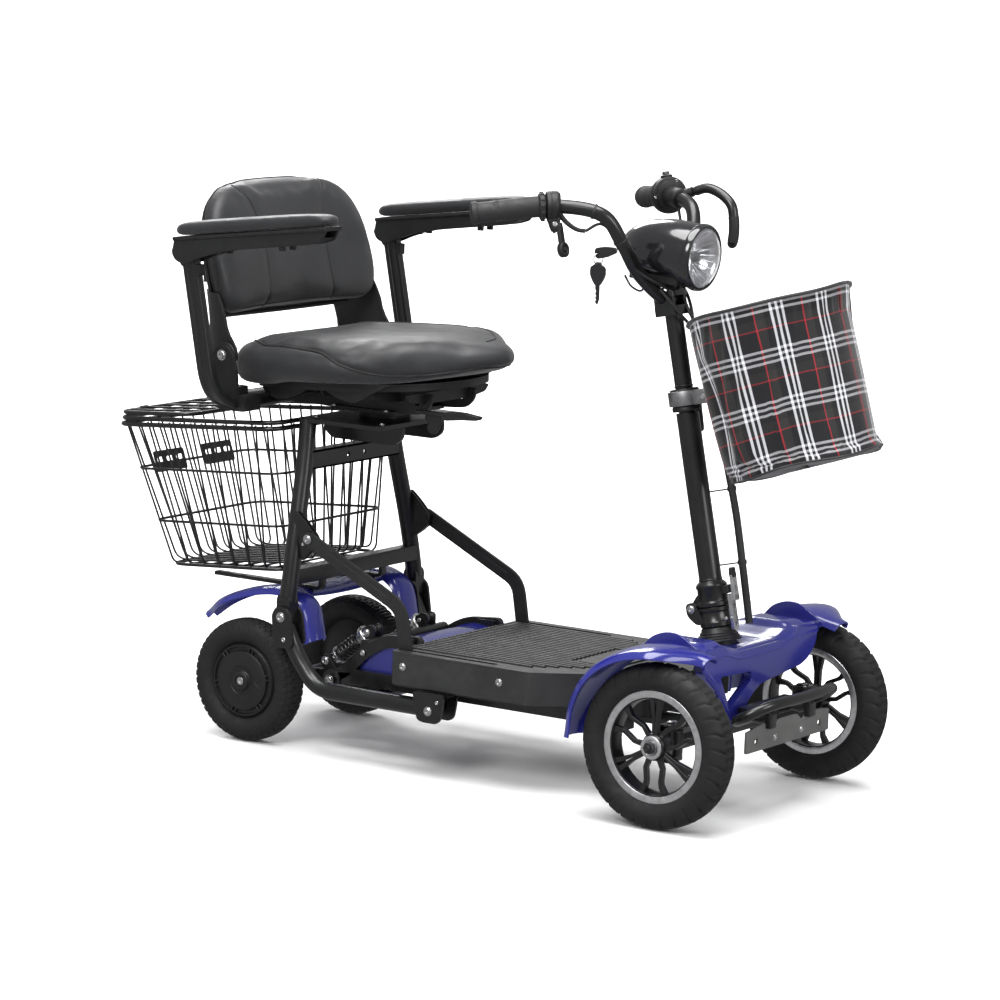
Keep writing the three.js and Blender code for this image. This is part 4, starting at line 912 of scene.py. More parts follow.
def add_chassis():
    frame_part = Shape()
    frame_part.add(plate(rounded([(x * 0.985, y * 0.975) for x, y in DECK_EDGE], 8, 3), "xy", 138.6, 141.4),
                   0)
    for _, s in SIDES:
        y = s * 114
        frame_part.add(box(-235, 295, y - 10, y + 10, 115, 139), 0)
        frame_part.add(plate(strap([(-283, 118), (-248, 132), (-214, 168), (-172, 192), (-112, 197)], 20),
                             "xz", y - 4, y + 6), 0)
        frame_part.add(plate(strap([(-283, 118), (-210, 124), (-120, 126)], 20), "xz", y - 4, y + 4), 0)
        frame_part.add(plate(rounded([(-146, 182), (-112, 182), (-112, 204), (-146, 202)], 4), "xz", y - 10,
                             y + 10), 0)
        ear = rounded([(-60, 139), (-57, 116), (-50, 94), (-40, 91), (-14, 91), (-6, 97), (-2, 116),
                       (0, 139)], 6, 4)
        for gap in (-21, 17):
            frame_part.add(plate(ear, "xz", s * 177 + gap - 0.2, s * 177 + gap + 4.2), 0)
        frame_part.add(box(-58, -2, *sorted((s * 104, s * 186)), 133, 139), 0)
        frame_part.bolt((-29, s * 199, 110), (0, s, 0), 6.0)
        frame_part.bolt((-12, s * 199, 126), (0, s, 0), 2.6)
        frame_part.bolt((-214, s * 120.5, 168), (0, s, 0), 4.0)
    frame_part.add(box(-20, 4, -110, 110, 115, 135), 0)
    frame_part.add(box(180, 204, -110, 110, 115, 135), 0)
    frame_part.add(rod((-216, -112, 178), (-216, 112, 178), 10, 24), 0)
    for _, s in SIDES:
        frame_part.add(lathe([(8.4, 0), (17, 0), (17, 3.0), (8.4, 3.0)], 32, (-275, s * 118, 116),
                             (0, s, 0), closed=True), 0)
        frame_part.add(plate(rounded([(-240, 180), (-216, 180), (-216, 205), (-226, 208), (-240, 200)], 4),
                             "xz", s * 75 - 13, s * 75 - 9), 0)
        frame_part.add(plate(rounded([(-240, 180), (-216, 180), (-216, 205), (-226, 208), (-240, 200)], 4),
                             "xz", s * 75 + 9, s * 75 + 13), 0)
        frame_part.bolt((-231, s * 88, 194), (0, s, 0), 5.5)
    frame_part.build("chassis_rails", "main_frame", [BLACK_PAINT, SILVER], "black_paint", ["chassis_frame"],
                     bevel=1.0)
    finish_node("battery_pack", MOULDED, 2.0)

    hoops = Shape()
    for _, s in SIDES:
        y = s * 177
        route = bent([(-29, y, 110), (-262, y, 110), (-304, y, 160), (-325, y, 205)], 70, 12)
        hoops.add(tube(even(route, 70), 14, 24), 0)
        bracket = rounded([(-343, 226), (-339, 180), (-330, 172), (-306, 172), (-299, 182), (-306, 228),
                           (-316, 239), (-334, 239)], 7, 5)
        for cheek in (-15.5, 15.5):
            hoops.add(plate(bracket, "xz", y + cheek - 2.5, y + cheek + 2.5), 0)
        hoops.bolt((-325, y + s * 18, 222), (0, s, 0), 6.5)
        hoops.bolt((-325, y - s * 18, 222), (0, -s, 0), 6.5)
        hoops.bolt((-318, y + s * 18, 186), (0, s, 0), 3.2)
        hoops.add(rod((-29, s * 163, 110), (-29, s * 196, 110), 8, 24, 1.0), 0)
        hoops.add(lathe([(0, 0), (4, 0), (4, 1.2), (0, 1.2)], 20, (-96, y + s * 13.4, 110), (0, s, 0)), 2)
    hoops.add(rod((-180, -177, 104), (-180, 177, 104), 9, 24), 0)
    hoops.build("side_hoop_tubes", "main_frame", [BLACK_PAINT, SILVER, MOULDED], "black_paint",
                ["side_hoops"], bevel=0.7)


def add_rear_suspension():
    arm = Shape()
    for _, s in SIDES:
        y = s * 100
        arm.add(plate(strap([(-275, 116), (-350, 112), (-421, 101)], 26), "xz", y - 5, y + 5), 0)
        arm.add(plate(strap([(-275, 116), (-300, 142)], 20), "xz", y - 5, y + 5), 0)
        arm.add(rod((-421, y, 101), (-421, s * 125.5, 101), 9, 24), 0)
        arm.add(rod((-300, s * 105, 142), (-300, s * 90.6, 142), 6, 20), 1)
        arm.bolt((-300, s * 105, 142), (0, s, 0), 6.0)
    arm.add(rod((-275, -128, 116), (-275, 128, 116), 8, 24), 0)
    arm.add(rod((-350, -100, 112), (-350, 100, 112), 10, 24), 0)
    for _, s in SIDES:
        arm.bolt((-275, s * 127, 116), (0, s, 0), 7.0)
    arm.build("rear_swing_arm_bars", "rear_axle", [BLACK_PAINT, SILVER], "black_paint", ["rear_swing_arm"],
              bevel=1.2)

    for side_name, s in SIDES:
        low, high = vec(-300, s * 75, 142), vec(-231, s * 75, 195)
        along = unit(high - low)
        length = np.linalg.norm(high - low)
        shock = Shape()
        shock.add(lathe([(0, 2), (4.5, 2), (4.5, length - 20), (0, length - 20)], 20, low, along), 1)
        shock.add(lathe([(0, 9), (14, 9), (15.2, 10.5), (15.2, 12.5), (13, 13.5), (6, 14.5), (0, 14.5)], 32,
                        low, along), 1)
        shock.add(lathe([(0, length - 27), (8.5, length - 27), (8.5, length - 17), (15, length - 17),
                         (16.2, length - 15),
                         (16.2, length - 9), (13.5, length - 7), (0, length - 7)], 32, low, along), 1)
        turns, steps = 5.5, 132
        seed = unit(np.cross(vec(0, 1, 0), along))
        other = np.cross(along, seed)
        coil = [low + along * (15 + (length - 44) * k / steps)
                + 11.6 * (math.cos(2 * math.pi * turns * k / steps) * seed
                          + math.sin(2 * math.pi * turns * k / steps) * other)
                for k in range(steps + 1)]
        shock.add(tube(coil, 2.7, 10), 0)
        for end in (low, high):
            shock.add(lathe([(4, -8), (8, -8), (8.6, -6.5), (8.6, 6.5), (8, 8), (4, 8)], 28, end, (0, 1, 0),
                            closed=True), 1)
        shock.add(rod(low - vec(0, 15, 0), low + vec(0, 15, 0), 3.6, 16, 1), 1)
        shock.add(rod(high - vec(0, 15, 0), high + vec(0, 15, 0), 3.6, 16, 1), 1)
        piece = shock.build(f"rear_shock_{side_name}", "main_frame", [BLACK_PAINT, SILVER], "steel",
                            [f"shock_absorber_{side_name}"], bevel=0.4)
        bake_modifiers(piece)
        loosen(piece)
        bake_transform(piece)


def place(point):
    """Millimetres from between the axles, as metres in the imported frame."""
    p = np.asarray(point, float)
    return Vector(((p[0] + OFFSET) / 1000, p[1] / 1000, p[2] / 1000))


def loosen(piece):
    """Takes a piece off its body, so that it can be blended between two."""
    world = piece.matrix_world.copy()
    piece.parent = None
    piece.matrix_world = world
    if "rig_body" in piece:
        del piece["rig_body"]


def bake_modifiers(piece):
    """Turns a piece's modifiers into mesh."""
    graph = bpy.context.evaluated_depsgraph_get()
    made = bpy.data.meshes.new_from_object(piece.evaluated_get(graph), preserve_all_data_layers=True,
                                           depsgraph=graph)
    piece.modifiers.clear()
    piece.data = made


add_deck()
add_chassis()
add_rear_suspension()


# ---- front axle, knuckles and bumper --------------------------------------------------------
def add_front_axle():
    beam = Shape()
    beam.add(sweep([(421, -190, 127), (421, 190, 127)], rounded_rect(13, 12, 3, 3), side=(1, 0, 0)), 0)
    for _, s in SIDES:
        beam.add(lathe([(10.8, -19), (16, -19), (16.6, -17), (16.6, 17), (16, 19), (10.8, 19)], 32,
                       (421, s * 196.5, 127), (0, 0, 1), closed=True), 0)
        beam.add(sweep([(236, s * 50, 125), (421, s * 50, 125)], rounded_rect(10, 10, 2.5, 3),
                       side=(0, 1, 0)), 0)
    beam.build("front_beam", "main_frame", [BLACK_PAINT, SILVER], "black_paint", ["front_axle_beam"],
               bevel=0.8)
    for side_name, s in SIDES:
        ky = s * 196.5
        k = Shape()
        k.add(plate(rounded([(408, ky - s * 14), (434, ky - s * 14), (434, ky + s * 27),
                             (408, ky + s * 27)], 6, 4), "xy", 147, 155), 0)
        k.add(plate(rounded([(408, ky - s * 14), (434, ky - s * 14), (434, ky + s * 27),
                             (408, ky + s * 27)], 6, 4), "xy", 99, 107), 0)
        k.add(plate(rounded([(408, 99), (434, 99), (434, 155), (408, 155)], 4, 4), "xz",
                    *sorted((ky + s * 19, ky + s * 27))), 0)
        k.add(rod((421, ky, 100), (421, ky, 158), 9.7, 24, 1.5), 0)
        k.bolt((421, ky, 155), (0, 0, 1), 8.0)
        k.add(rod((421, ky + s * 25, 127), (421, s * 266, 127), 8, 24, 1.0), 1)
        k.add(plate(strap([(370, ky - s * 7), (415, ky - s * 7)], 14), "xy", 99, 107), 0)
        k.bolt((366, ky - s * 7, 107), (0, 0, 1), 4.5)
        hub = s * 259.2
        out = (0, s, 0)
        k.add(lathe([(0, 0), (11, 0), (11, 1.2), (0, 1.2)], 32, (421, hub, 127), out), 1)
        k.add(lathe([(0, 1.2), (9.2, 1.2), (9.6, 2.0), (9.6, 6.4), (8.8, 7.2), (0, 7.2)], 6,
                    (421, hub, 127), out), 2)
        k.add(lathe([(0, 7), (5.0, 7), (5.0, 9.2), (4.2, 10.0), (0, 10.0)], 24, (421, hub, 127), out), 2)
        k.build(f"front_knuckle_fork_{side_name}", f"front_knuckle_{side_name}",
                [BLACK_PAINT, SILVER, DARK_STEEL], "black_paint",
                [f"front_knuckle_{side_name}"], bevel=0.8)


def add_bumper():
    loop = [(478, 104, 152), (502, 122, 164), (528, 100, 180), (541, 0, 184), (528, -100, 180),
            (502, -122, 164), (478, -104, 152), (474, 0, 151)]
    guard = Shape()
    guard.add(tube(spline(loop, 120, closed=True), 8.6, 20, closed=True), 0)
    for _, s in SIDES:
        guard.add(tube(bent([(462, s * 60, 153), (500, s * 60, 150), (510, s * 60, 160),
                             (520, s * 60, 168)], 14, 6), 6.5, 16), 0)
        guard.add(sweep([(512.5, s * 60, 140), (512.5, s * 60, 164)], rounded_rect(5.5, 10, 2, 3),
                        side=(1, 0, 0)), 0)
    guard.add(box(460, 476, -70, 70, 150, 166), 0)
    holes = [[(y + 5 * math.cos(a), 124 + 5 * math.sin(a))
              for a in np.linspace(0, 2 * math.pi, 16, endpoint=False)] for y in (-96, 96)]
    guard.add(plate(rounded([(-126, 108), (126, 108), (126, 142), (62, 148), (44, 136), (26, 148),
                             (-26, 148), (-44, 136), (-62, 148), (-126, 142)], 3, 3),
                    "yz", 506, 510, holes), 2)
    for y in (-40, 40):
        guard.bolt((510, y, 122), (1, 0, 0), 4.5)
    guard.build("bumper_loop", "main_frame", [BLACK_PAINT, SILVER, PLATE_GREY], "black_paint",
                ["front_bumper"], bevel=0.8)


add_front_axle()
add_bumper()


# ---- steering column ------------------------------------------------------------------------
# Points on the column are (n, y, s): forward of its axis, to the left, and up along it.
LEAN_COS, LEAN_SIN = math.cos(math.radians(11.8)), math.sin(math.radians(11.8))
COLUMN_FRAME = np.array([(LEAN_COS, 0, -LEAN_SIN, 381), (0, 1, 0, 0), (LEAN_SIN, 0, LEAN_COS, 244),
                         (0, 0, 0, 1)])
UP = (0, 0, 1)


def along_axis(profile, segments=48):
    return lathe(profile, segments, (0, 0, 0), UP)


def add_column():
    boot = Shape()
    folds = [(0, -26), (22, -26), (25.2, -18), (25.2, 4.5), (35.5, 5.2), (36, 7.5), (33.6, 9.6),
             (34.0, 11.4), (31.2, 13.6),
             (31.6, 15.4), (28.6, 17.8), (28.8, 19.6), (25.8, 22.4), (25.6, 25), (24, 27.6), (0, 27.6)]
    boot.add(along_axis(folds, 64), 0)
    boot.build("steering_boot", "main_frame", [MOULDED], "black_plastic", ["steering_head"],
               place=COLUMN_FRAME, angle=50)

    base = Shape()
    base.add(along_axis([(0, 28.6), (24, 28.6), (25.6, 30), (25.6, 36), (24, 38), (23.5, 52), (25.4, 54),
                         (25.4, 59), (24.4, 59.6), (0, 59.6)]), 0)
    for g in (1, -1):
        cheek = rounded([(-39, 50), (-39, 66), (-33, 70), (-26, 69), (-20, 62), (-12, 46), (-10, 34),
                         (-24, 34)], 7, 5)
        base.add(plate(cheek, "xz", *sorted((g * 12.6, g * 21.5))), 0)
        base.bolt((-30, g * 21.5, 60), (0, g, 0), 5.4)
    base.add(plate(rounded([(17, -9), (31, -9), (31, 9), (17, 9)], 3), "xy", 33.5, 46), 0)
    base.add(rod((24, -11.6, 40), (24, 11.6, 40), 3.2, 16, 0.8), 1)
    base.build("fold_joint_collar", "steering", [BLACK_PAINT, SILVER], "black_paint", ["fold_joint_base"],
               place=COLUMN_FRAME, bevel=0.9)

    lower = Shape()
    lower.add(along_axis([(0, 60.6), (24.4, 60.6), (25.4, 61.6), (25.4, 67), (23.6, 69), (23.2, 88),
                          (24.6, 90), (24.6, 94), (22, 97), (18.4, 100),
                          (18, 104), (18, 364), (0, 364)], 48), 0)
    lower.add(along_axis([(17, 366), (21.8, 366), (23, 367.4), (23, 372), (21.8, 374), (21.8, 392),
                          (23, 394), (23, 399.6), (21.6, 401.4), (15, 401.4)], 48), 2)
    lower.add(rod((-30, -11.8, 60), (-30, 11.8, 60), 9, 28, 1), 0)
    lower.add(plate(rounded([(-36, 64), (-24, 60.8), (-8, 60.8), (-8, 84), (-22, 80)], 4), "xz", -11.5,
                    11.5), 0)
    lower.add(plate(rounded([(16, -8), (33.6, -8), (33.6, 8), (16, 8)], 3), "xy", 78.5, 91.5), 0)
    # Split ears of the collar, on the left.
    lower.add(plate(rounded([(-5, 19), (5, 19), (5, 29.5), (-5, 29.5)], 2.5), "xy", 369, 397), 2)
    for s_at in (100, 366):
        lower.add(along_axis([(17.9, s_at), (18.7, s_at + 0.6), (18.7, s_at + 3.4), (17.9, s_at + 4)], 48),
                  0)
    lower.build("column_lower_sleeve", "column", [BLACK_PAINT, SILVER, MOULDED], "black_paint",
                ["column_lower_tube"], place=COLUMN_FRAME, bevel=0.7)

    lever = Shape()
    body = rounded([(-7.4, 20), (7.4, 20), (7.4, 77.4), (-7.4, 77.4)], 4, 4)
    slots = [rounded([(-2.6, a), (2.6, a), (2.6, b), (-2.6, b)], 2.4, 4) for a, b in ((27, 33), (47, 61))]
    lever.add(plate(body, "yz", 30.8, 35.8, slots), 0)
    grip = rounded([(-7.4, 66), (7.4, 66), (6.6, 108), (-6.6, 108)], 3.5, 4)
    lever.add(plate(grip, "yz", 38.6, 43.6, [rounded([(-2.6, a), (2.6, a), (2.6, b), (-2.6, b)], 2.4, 4)
                                             for a, b in ((78, 90), (95, 101))]), 0)
    lever.add(plate(rounded([(34.4, 66.4), (43.6, 66.4), (43.6, 77), (34.4, 77)], 2), "xz", -7.4, 7.4), 0)
    lever.add(plate(rounded([(-6.8, 102), (6.8, 102), (5.2, 118), (-5.2, 118)], 3.5, 4), "yz", 38.0, 44.0),
              1)
    lever.add(rod((33, -9, 39.5), (33, 9, 39.5), 2.4, 16, 0.6), 0)
    lever.build("fold_latch_handle", "fold_latch", [SILVER, MOULDED], "steel", ["fold_latch_lever"],
                place=COLUMN_FRAME, bevel=0.6)

    clamp = Shape()
    clamp.add(rod((0, 29.8, 383), (0, 36.5, 383), 7, 28, 1.2), 0)
    arm = rounded([(-6.5, 384), (-4.6, 336), (-2.6, 331), (2.6, 331), (4.6, 336), (6.5, 384)], 4, 4)
    clamp.add(plate(arm, "xz", 31.0, 36.0), 0)
    clamp.add(rod((0, 23.6, 383), (0, 30, 383), 3.5, 16), 1)
    clamp.bolt((0, 36.4, 383), (0, 1, 0), 3.6)
    clamp.build("collar_clamp_lever", "collar_clamp", [MOULDED, SILVER], "black_plastic", ["collar_lever"],
                place=COLUMN_FRAME, bevel=0.9)


BAR_PATH = [(-175, 245, 712), (-73, 160, 704), (-20, 128, 680), (-10, 102, 634), (-15, 58, 584),
            (-4, 0, 540)]
BAR_LINE = spline(BAR_PATH + [(n, -y, s) for n, y, s in BAR_PATH[-2::-1]], 321)
BAR_RUN = np.concatenate([[0], np.cumsum(np.linalg.norm(np.diff(BAR_LINE, axis=0), axis=1))])


def bar_at(side, distance):
    """The point that far along the bar from the end of one grip; a negative distance is beyond it."""
    point = vec(*(np.interp(max(distance, 0), BAR_RUN, BAR_LINE[:, k]) for k in range(3)))
    if distance < 0:
        point = point + unit(BAR_LINE[0] - BAR_LINE[6]) * -distance
    return point * vec(1, side, 1)


def along_bar(side, stops, steps=2):
    """Points and radii along the bar, from (distance, radius) stops."""
    distances = [stops[0][0]]
    for (a, _), (b, _) in zip(stops, stops[1:]):
        distances.extend(np.linspace(a, b, steps + 1)[1:] if b - a > 3 else [b])
    points = np.array([bar_at(side, d) for d in distances])
    radii = np.interp(distances, [d for d, _ in stops], [r for _, r in stops])
    return points, radii


def bar_sleeve(side, stops, sides=32, steps=2):
    points, radii = along_bar(side, stops, steps)
    return sweep(points, circle(1.0, sides), scale=radii)


def add_handlebar():
    bar = Shape()
    bar.add(tube(BAR_LINE, 11, 24), 0)
    bar.build("handlebar_tube", "handlebar_set", [BLACK_PAINT], "black_paint", ["handlebar"],
              place=COLUMN_FRAME)

    stem = Shape()
    stem.add(along_axis([(0, 306), (13.6, 306), (13.6, 402), (14, 402), (14, 517), (0, 517)], 40), 0)
    stem.add(along_axis([(14, 404), (15.2, 404.6), (15.2, 406.4), (14, 407)], 40), 0)
    stem.add(plate(rounded([(-23, -22), (17, -22), (17, 22), (-23, 22)], 8, 5), "xy", 516, 531), 0)
    stem.add(plate(rounded([(-23, -23), (17, -23), (17, 23), (-23, 23)], 8, 5), "xy", 546, 554.5), 0)
    for y in (-17, 17):
        stem.add(box(-20, 14, y - 4, y + 4, 530, 547), 0)
        for n in (-14, 8):
            stem.bolt((n, y, 554.5), UP, 3.4)
    # Cables that leave the bar clamp and go under the lamp.
    for y, reach in ((-20, 26), (14, 30), (24, 20)):
        stem.add(tube(spline([(-16, y * 1.3, 576), (2, y * 1.5, 556), (20, y * 0.9, 520),
                              (reach, 14 + y * 0.15, 486), (26, 16, 462)], 40), 2.6, 12), 2)
    stem.build("bar_stem", "handlebar_set", [BLACK_PAINT, SILVER, CABLE], "black_paint",
               ["column_upper_tube"], place=COLUMN_FRAME, bevel=0.6)

    for side_name, s in SIDES:
        grip = Shape()
        stops = [(-7.2, 0.2), (-7.0, 14.5), (-5.6, 17.6), (2, 18.2), (3, 16.4), (7, 16.0)]
        if s > 0:
            for k in range(22):
                d = 9 + 4.0 * k
                stops += [(d, 15.8), (d + 0.9, 17.0), (d + 2.6, 17.0), (d + 3.5, 15.8)]
            stops += [(98.5, 16.2)]
        else:
            stops += [(30, 16.0), (31, 17.0), (32.4, 17.0), (33.2, 16.2), (70, 16.6), (97, 16.4)]
        stops += [(99, 20.4), (100, 21.2), (106, 21.2), (107.4, 19.6), (107.8, 11.2)]
        grip.add(bar_sleeve(s, stops, 40, 4), 0)
        for k in range(12 if s < 0 else 0):
            a = 2 * math.pi * k / 12
            here, ahead = bar_at(s, 100), bar_at(s, 106)
            axis = unit(ahead - here)
            first = unit(np.cross(UP, axis))
            spoke_at = math.cos(a) * first + math.sin(a) * np.cross(axis, first)
            grip.add(sweep([here + spoke_at * 21.2, ahead + spoke_at * 21.2],
                           rounded_rect(1.5, 2.6, 0.8, 2), side=spoke_at), 0)
        grip.build(f"grip_sleeve_{side_name}", "handlebar_set", [GRIP_RUBBER], "rubber",
                   [f"hand_grip_{side_name}"], place=COLUMN_FRAME, angle=50)

    add_throttle()
    add_left_controls()


def add_throttle():
    axis = unit(bar_at(-1, 131) - bar_at(-1, 109))
    house = Shape()
    house.add(bar_sleeve(-1, [(108.8, 12), (109.0, 20), (110.4, 23), (116, 23.6), (116.4, 23.0),
                              (117.2, 23.0), (117.6, 23.6), (126, 23.2), (129.6, 20.6), (130.6, 17),
                              (130.8, 12)], 40, 3), 0)
    centre = bar_at(-1, 118)
    down = vec(0, 0, -1)
    fore = unit(np.cross(axis, down))
    lug = [centre + down * 14, centre + down * 26, centre + down * 34 + axis * 2, centre + down * 39 + axis
           * 4]
    house.add(sweep(bent(lug, 6), rounded_rect(9.5, 11.5, 4.5), side=axis, scale=[1.05] * 3 + [0.95]
                    * (len(bent(lug, 6)) - 6) + [0.8] * 3), 0)
    house.bolt(centre + down * 28 + fore * 11.5, fore, 3.0)
    house.bolt(centre + down * 28 - fore * 11.5, -fore, 3.0)
    boot = [centre + axis * 10 + down * 12, centre + axis * 20 + down * 26, centre + axis * 34 + down * 36,
            centre + axis * 46 + down * 38]
    house.add(sweep(spline(boot, 24), circle(1, 16),
                    scale=[4.4 - 0.04 * k - 0.5 * (k % 2) for k in range(24)]), 2)
    home = [boot[-1], bar_at(-1, 190) + vec(0, 4, -17), bar_at(-1, 230) + vec(2, 0, -15), bar_at(-1, 290)
            + vec(4, 2, -13), vec(12, -24, 556)]
    house.add(tube(spline(home, 60), 2.4, 12), 2)
    for d in (182, 246):
        house.add(bar_sleeve(-1, [(d, 11.0), (d + 0.2, 12.2), (d + 3.4, 12.2), (d + 3.6, 11.0)], 28, 1), 2)
    house.build("throttle_block", "handlebar_set", [MOULDED, SILVER, CABLE], "black_plastic",
                ["throttle_housing"], place=COLUMN_FRAME, bevel=0.8)

    n, y, s = bar_at(-1, 120)
    paddle = Shape()
    paddle.add(lathe([(0, 3), (11, 3), (12, 4), (12, 10.6), (10.6, 12), (7, 12), (6, 10.8), (0, 10.6)], 40,
                     (n, y, s - 68), (1, 0, 0)), 0)
    arm = [(n + 6, y, s - 27), (n + 6.5, y, s - 44), (n + 6.5, y, s - 58)]
    paddle.add(sweep(bent(arm, 8), rounded_rect(3.2, 6.6, 2.4), side=(1, 0, 0)), 0)
    paddle.add(lathe([(0, 10.6), (3.4, 10.6), (3.4, 12.4), (0, 12.6)], 20, (n, y, s - 68), (1, 0, 0)), 1)
    paddle.build("throttle_disc", "throttle", [MOULDED, DARK_STEEL], "black_plastic", ["throttle_paddle"],
                 place=COLUMN_FRAME, bevel=0.7)


def add_left_controls():
    house = Shape()
    house.add(bar_sleeve(1, [(108.8, 12), (109, 21), (110.4, 23.8), (112.6, 24), (113.2, 28.6),
                             (114.4, 29.8), (119.2, 30), (119.6, 29.2), (120.2, 29.2), (120.6, 30),
                             (125, 29.6), (126.2, 28), (126.6, 24), (129.6, 23.4), (130.8, 20), (131, 12)],
                             44, 3), 0)
    house.add(bar_sleeve(1, [(131.6, 12), (131.8, 14.6), (133, 15.8), (146, 15.8), (146.4, 15.0),
                             (147, 15.0), (147.4, 15.8), (162, 15.6), (163.4, 14), (163.6, 12)], 32, 3), 0)
    root = bar_at(1, 154)
    house.add(tube(bent([root + vec(6, 2, 2), root + vec(18, 5, 5), root + vec(25.6, 6.4, 6)], 6), 8.2, 20),
              0)
    axis = unit(bar_at(1, 126) - bar_at(1, 113))
    for turn in (60, 180, 300):
        a = math.radians(turn)
        first = unit(np.cross(UP, axis))
        out = math.cos(a) * first + math.sin(a) * np.cross(axis, first)
        house.bolt(bar_at(1, 126.4) + out * 25.4, axis, 1.8)
    top = bar_at(1, 120) + vec(0, 0, 29.4)
    house.add(lathe([(6.8, -2), (9.4, -2), (9.8, 1.6), (8.4, 3), (7.2, 3.2), (6.8, 2.6)], 32, top, UP,
                    closed=True), 0)
    root_low = bar_at(1, 158) + vec(-4, 0, -14)
    home = [root_low, root_low + vec(8, -8, -26), bar_at(1, 214) + vec(6, 2, -14), bar_at(1, 280)
            + vec(6, 0, -12), vec(10, 24, 556)]
    house.add(tube(spline(home, 60), 2.4, 12), 2)
    house.build("switch_drum", "handlebar_set", [MOULDED, SILVER, CABLE], "black_plastic",
                ["left_switch_housing"], place=COLUMN_FRAME, bevel=0.7)

    n, y, s = bar_at(1, 120)
    horn = Shape()
    horn.add(lathe([(0, 33), (6, 33), (6, 36), (5, 37.6), (3, 38.1), (0, 38.2)], 32, (n, y, s), UP), 0)
    horn.build("horn_cap", "horn", [DARK_STEEL], "black_plastic", ["horn_button"], place=COLUMN_FRAME)

    hook = [root + vec(27 + a, 6 + b, 6 + c) for a, b,
            c in ((0, 0, 0), (22, 5, 2), (45, 6, -10), (62, 5, -30), (64, 4, -50), (60, 4, -76),
                  (52, 4, -97))]
    line = spline(hook, 56)
    radii = [8.2] * 56
    radii[0:2], radii[-4:] = [6.2, 7.4], [8.2, 7.8, 6.6, 3.6]
    lever = Shape().add(sweep(line, circle(1.0, 24), scale=radii), 0)
    lever.add(sweep(line[36:52], circle(1.0, 24), scale=[8.5 + 0.35 * (k % 2) for k in range(16)]), 1)
    lever.build("brake_lever_tube", "brake", [BLACK_PAINT, GRIP_RUBBER], "black_paint", ["brake_lever"],
                place=COLUMN_FRAME)


def pod_frame():
    tail, lens = vec(-72, 0, 636), vec(70, 0, 596)
    forward = unit(lens - tail)
    upward = np.cross(forward, vec(0, 1, 0))
    local = np.eye(4)
    local[:3, 0], local[:3, 1], local[:3, 2], local[:3, 3] = forward, vec(0, 1, 0), upward, tail
    return COLUMN_FRAME @ local


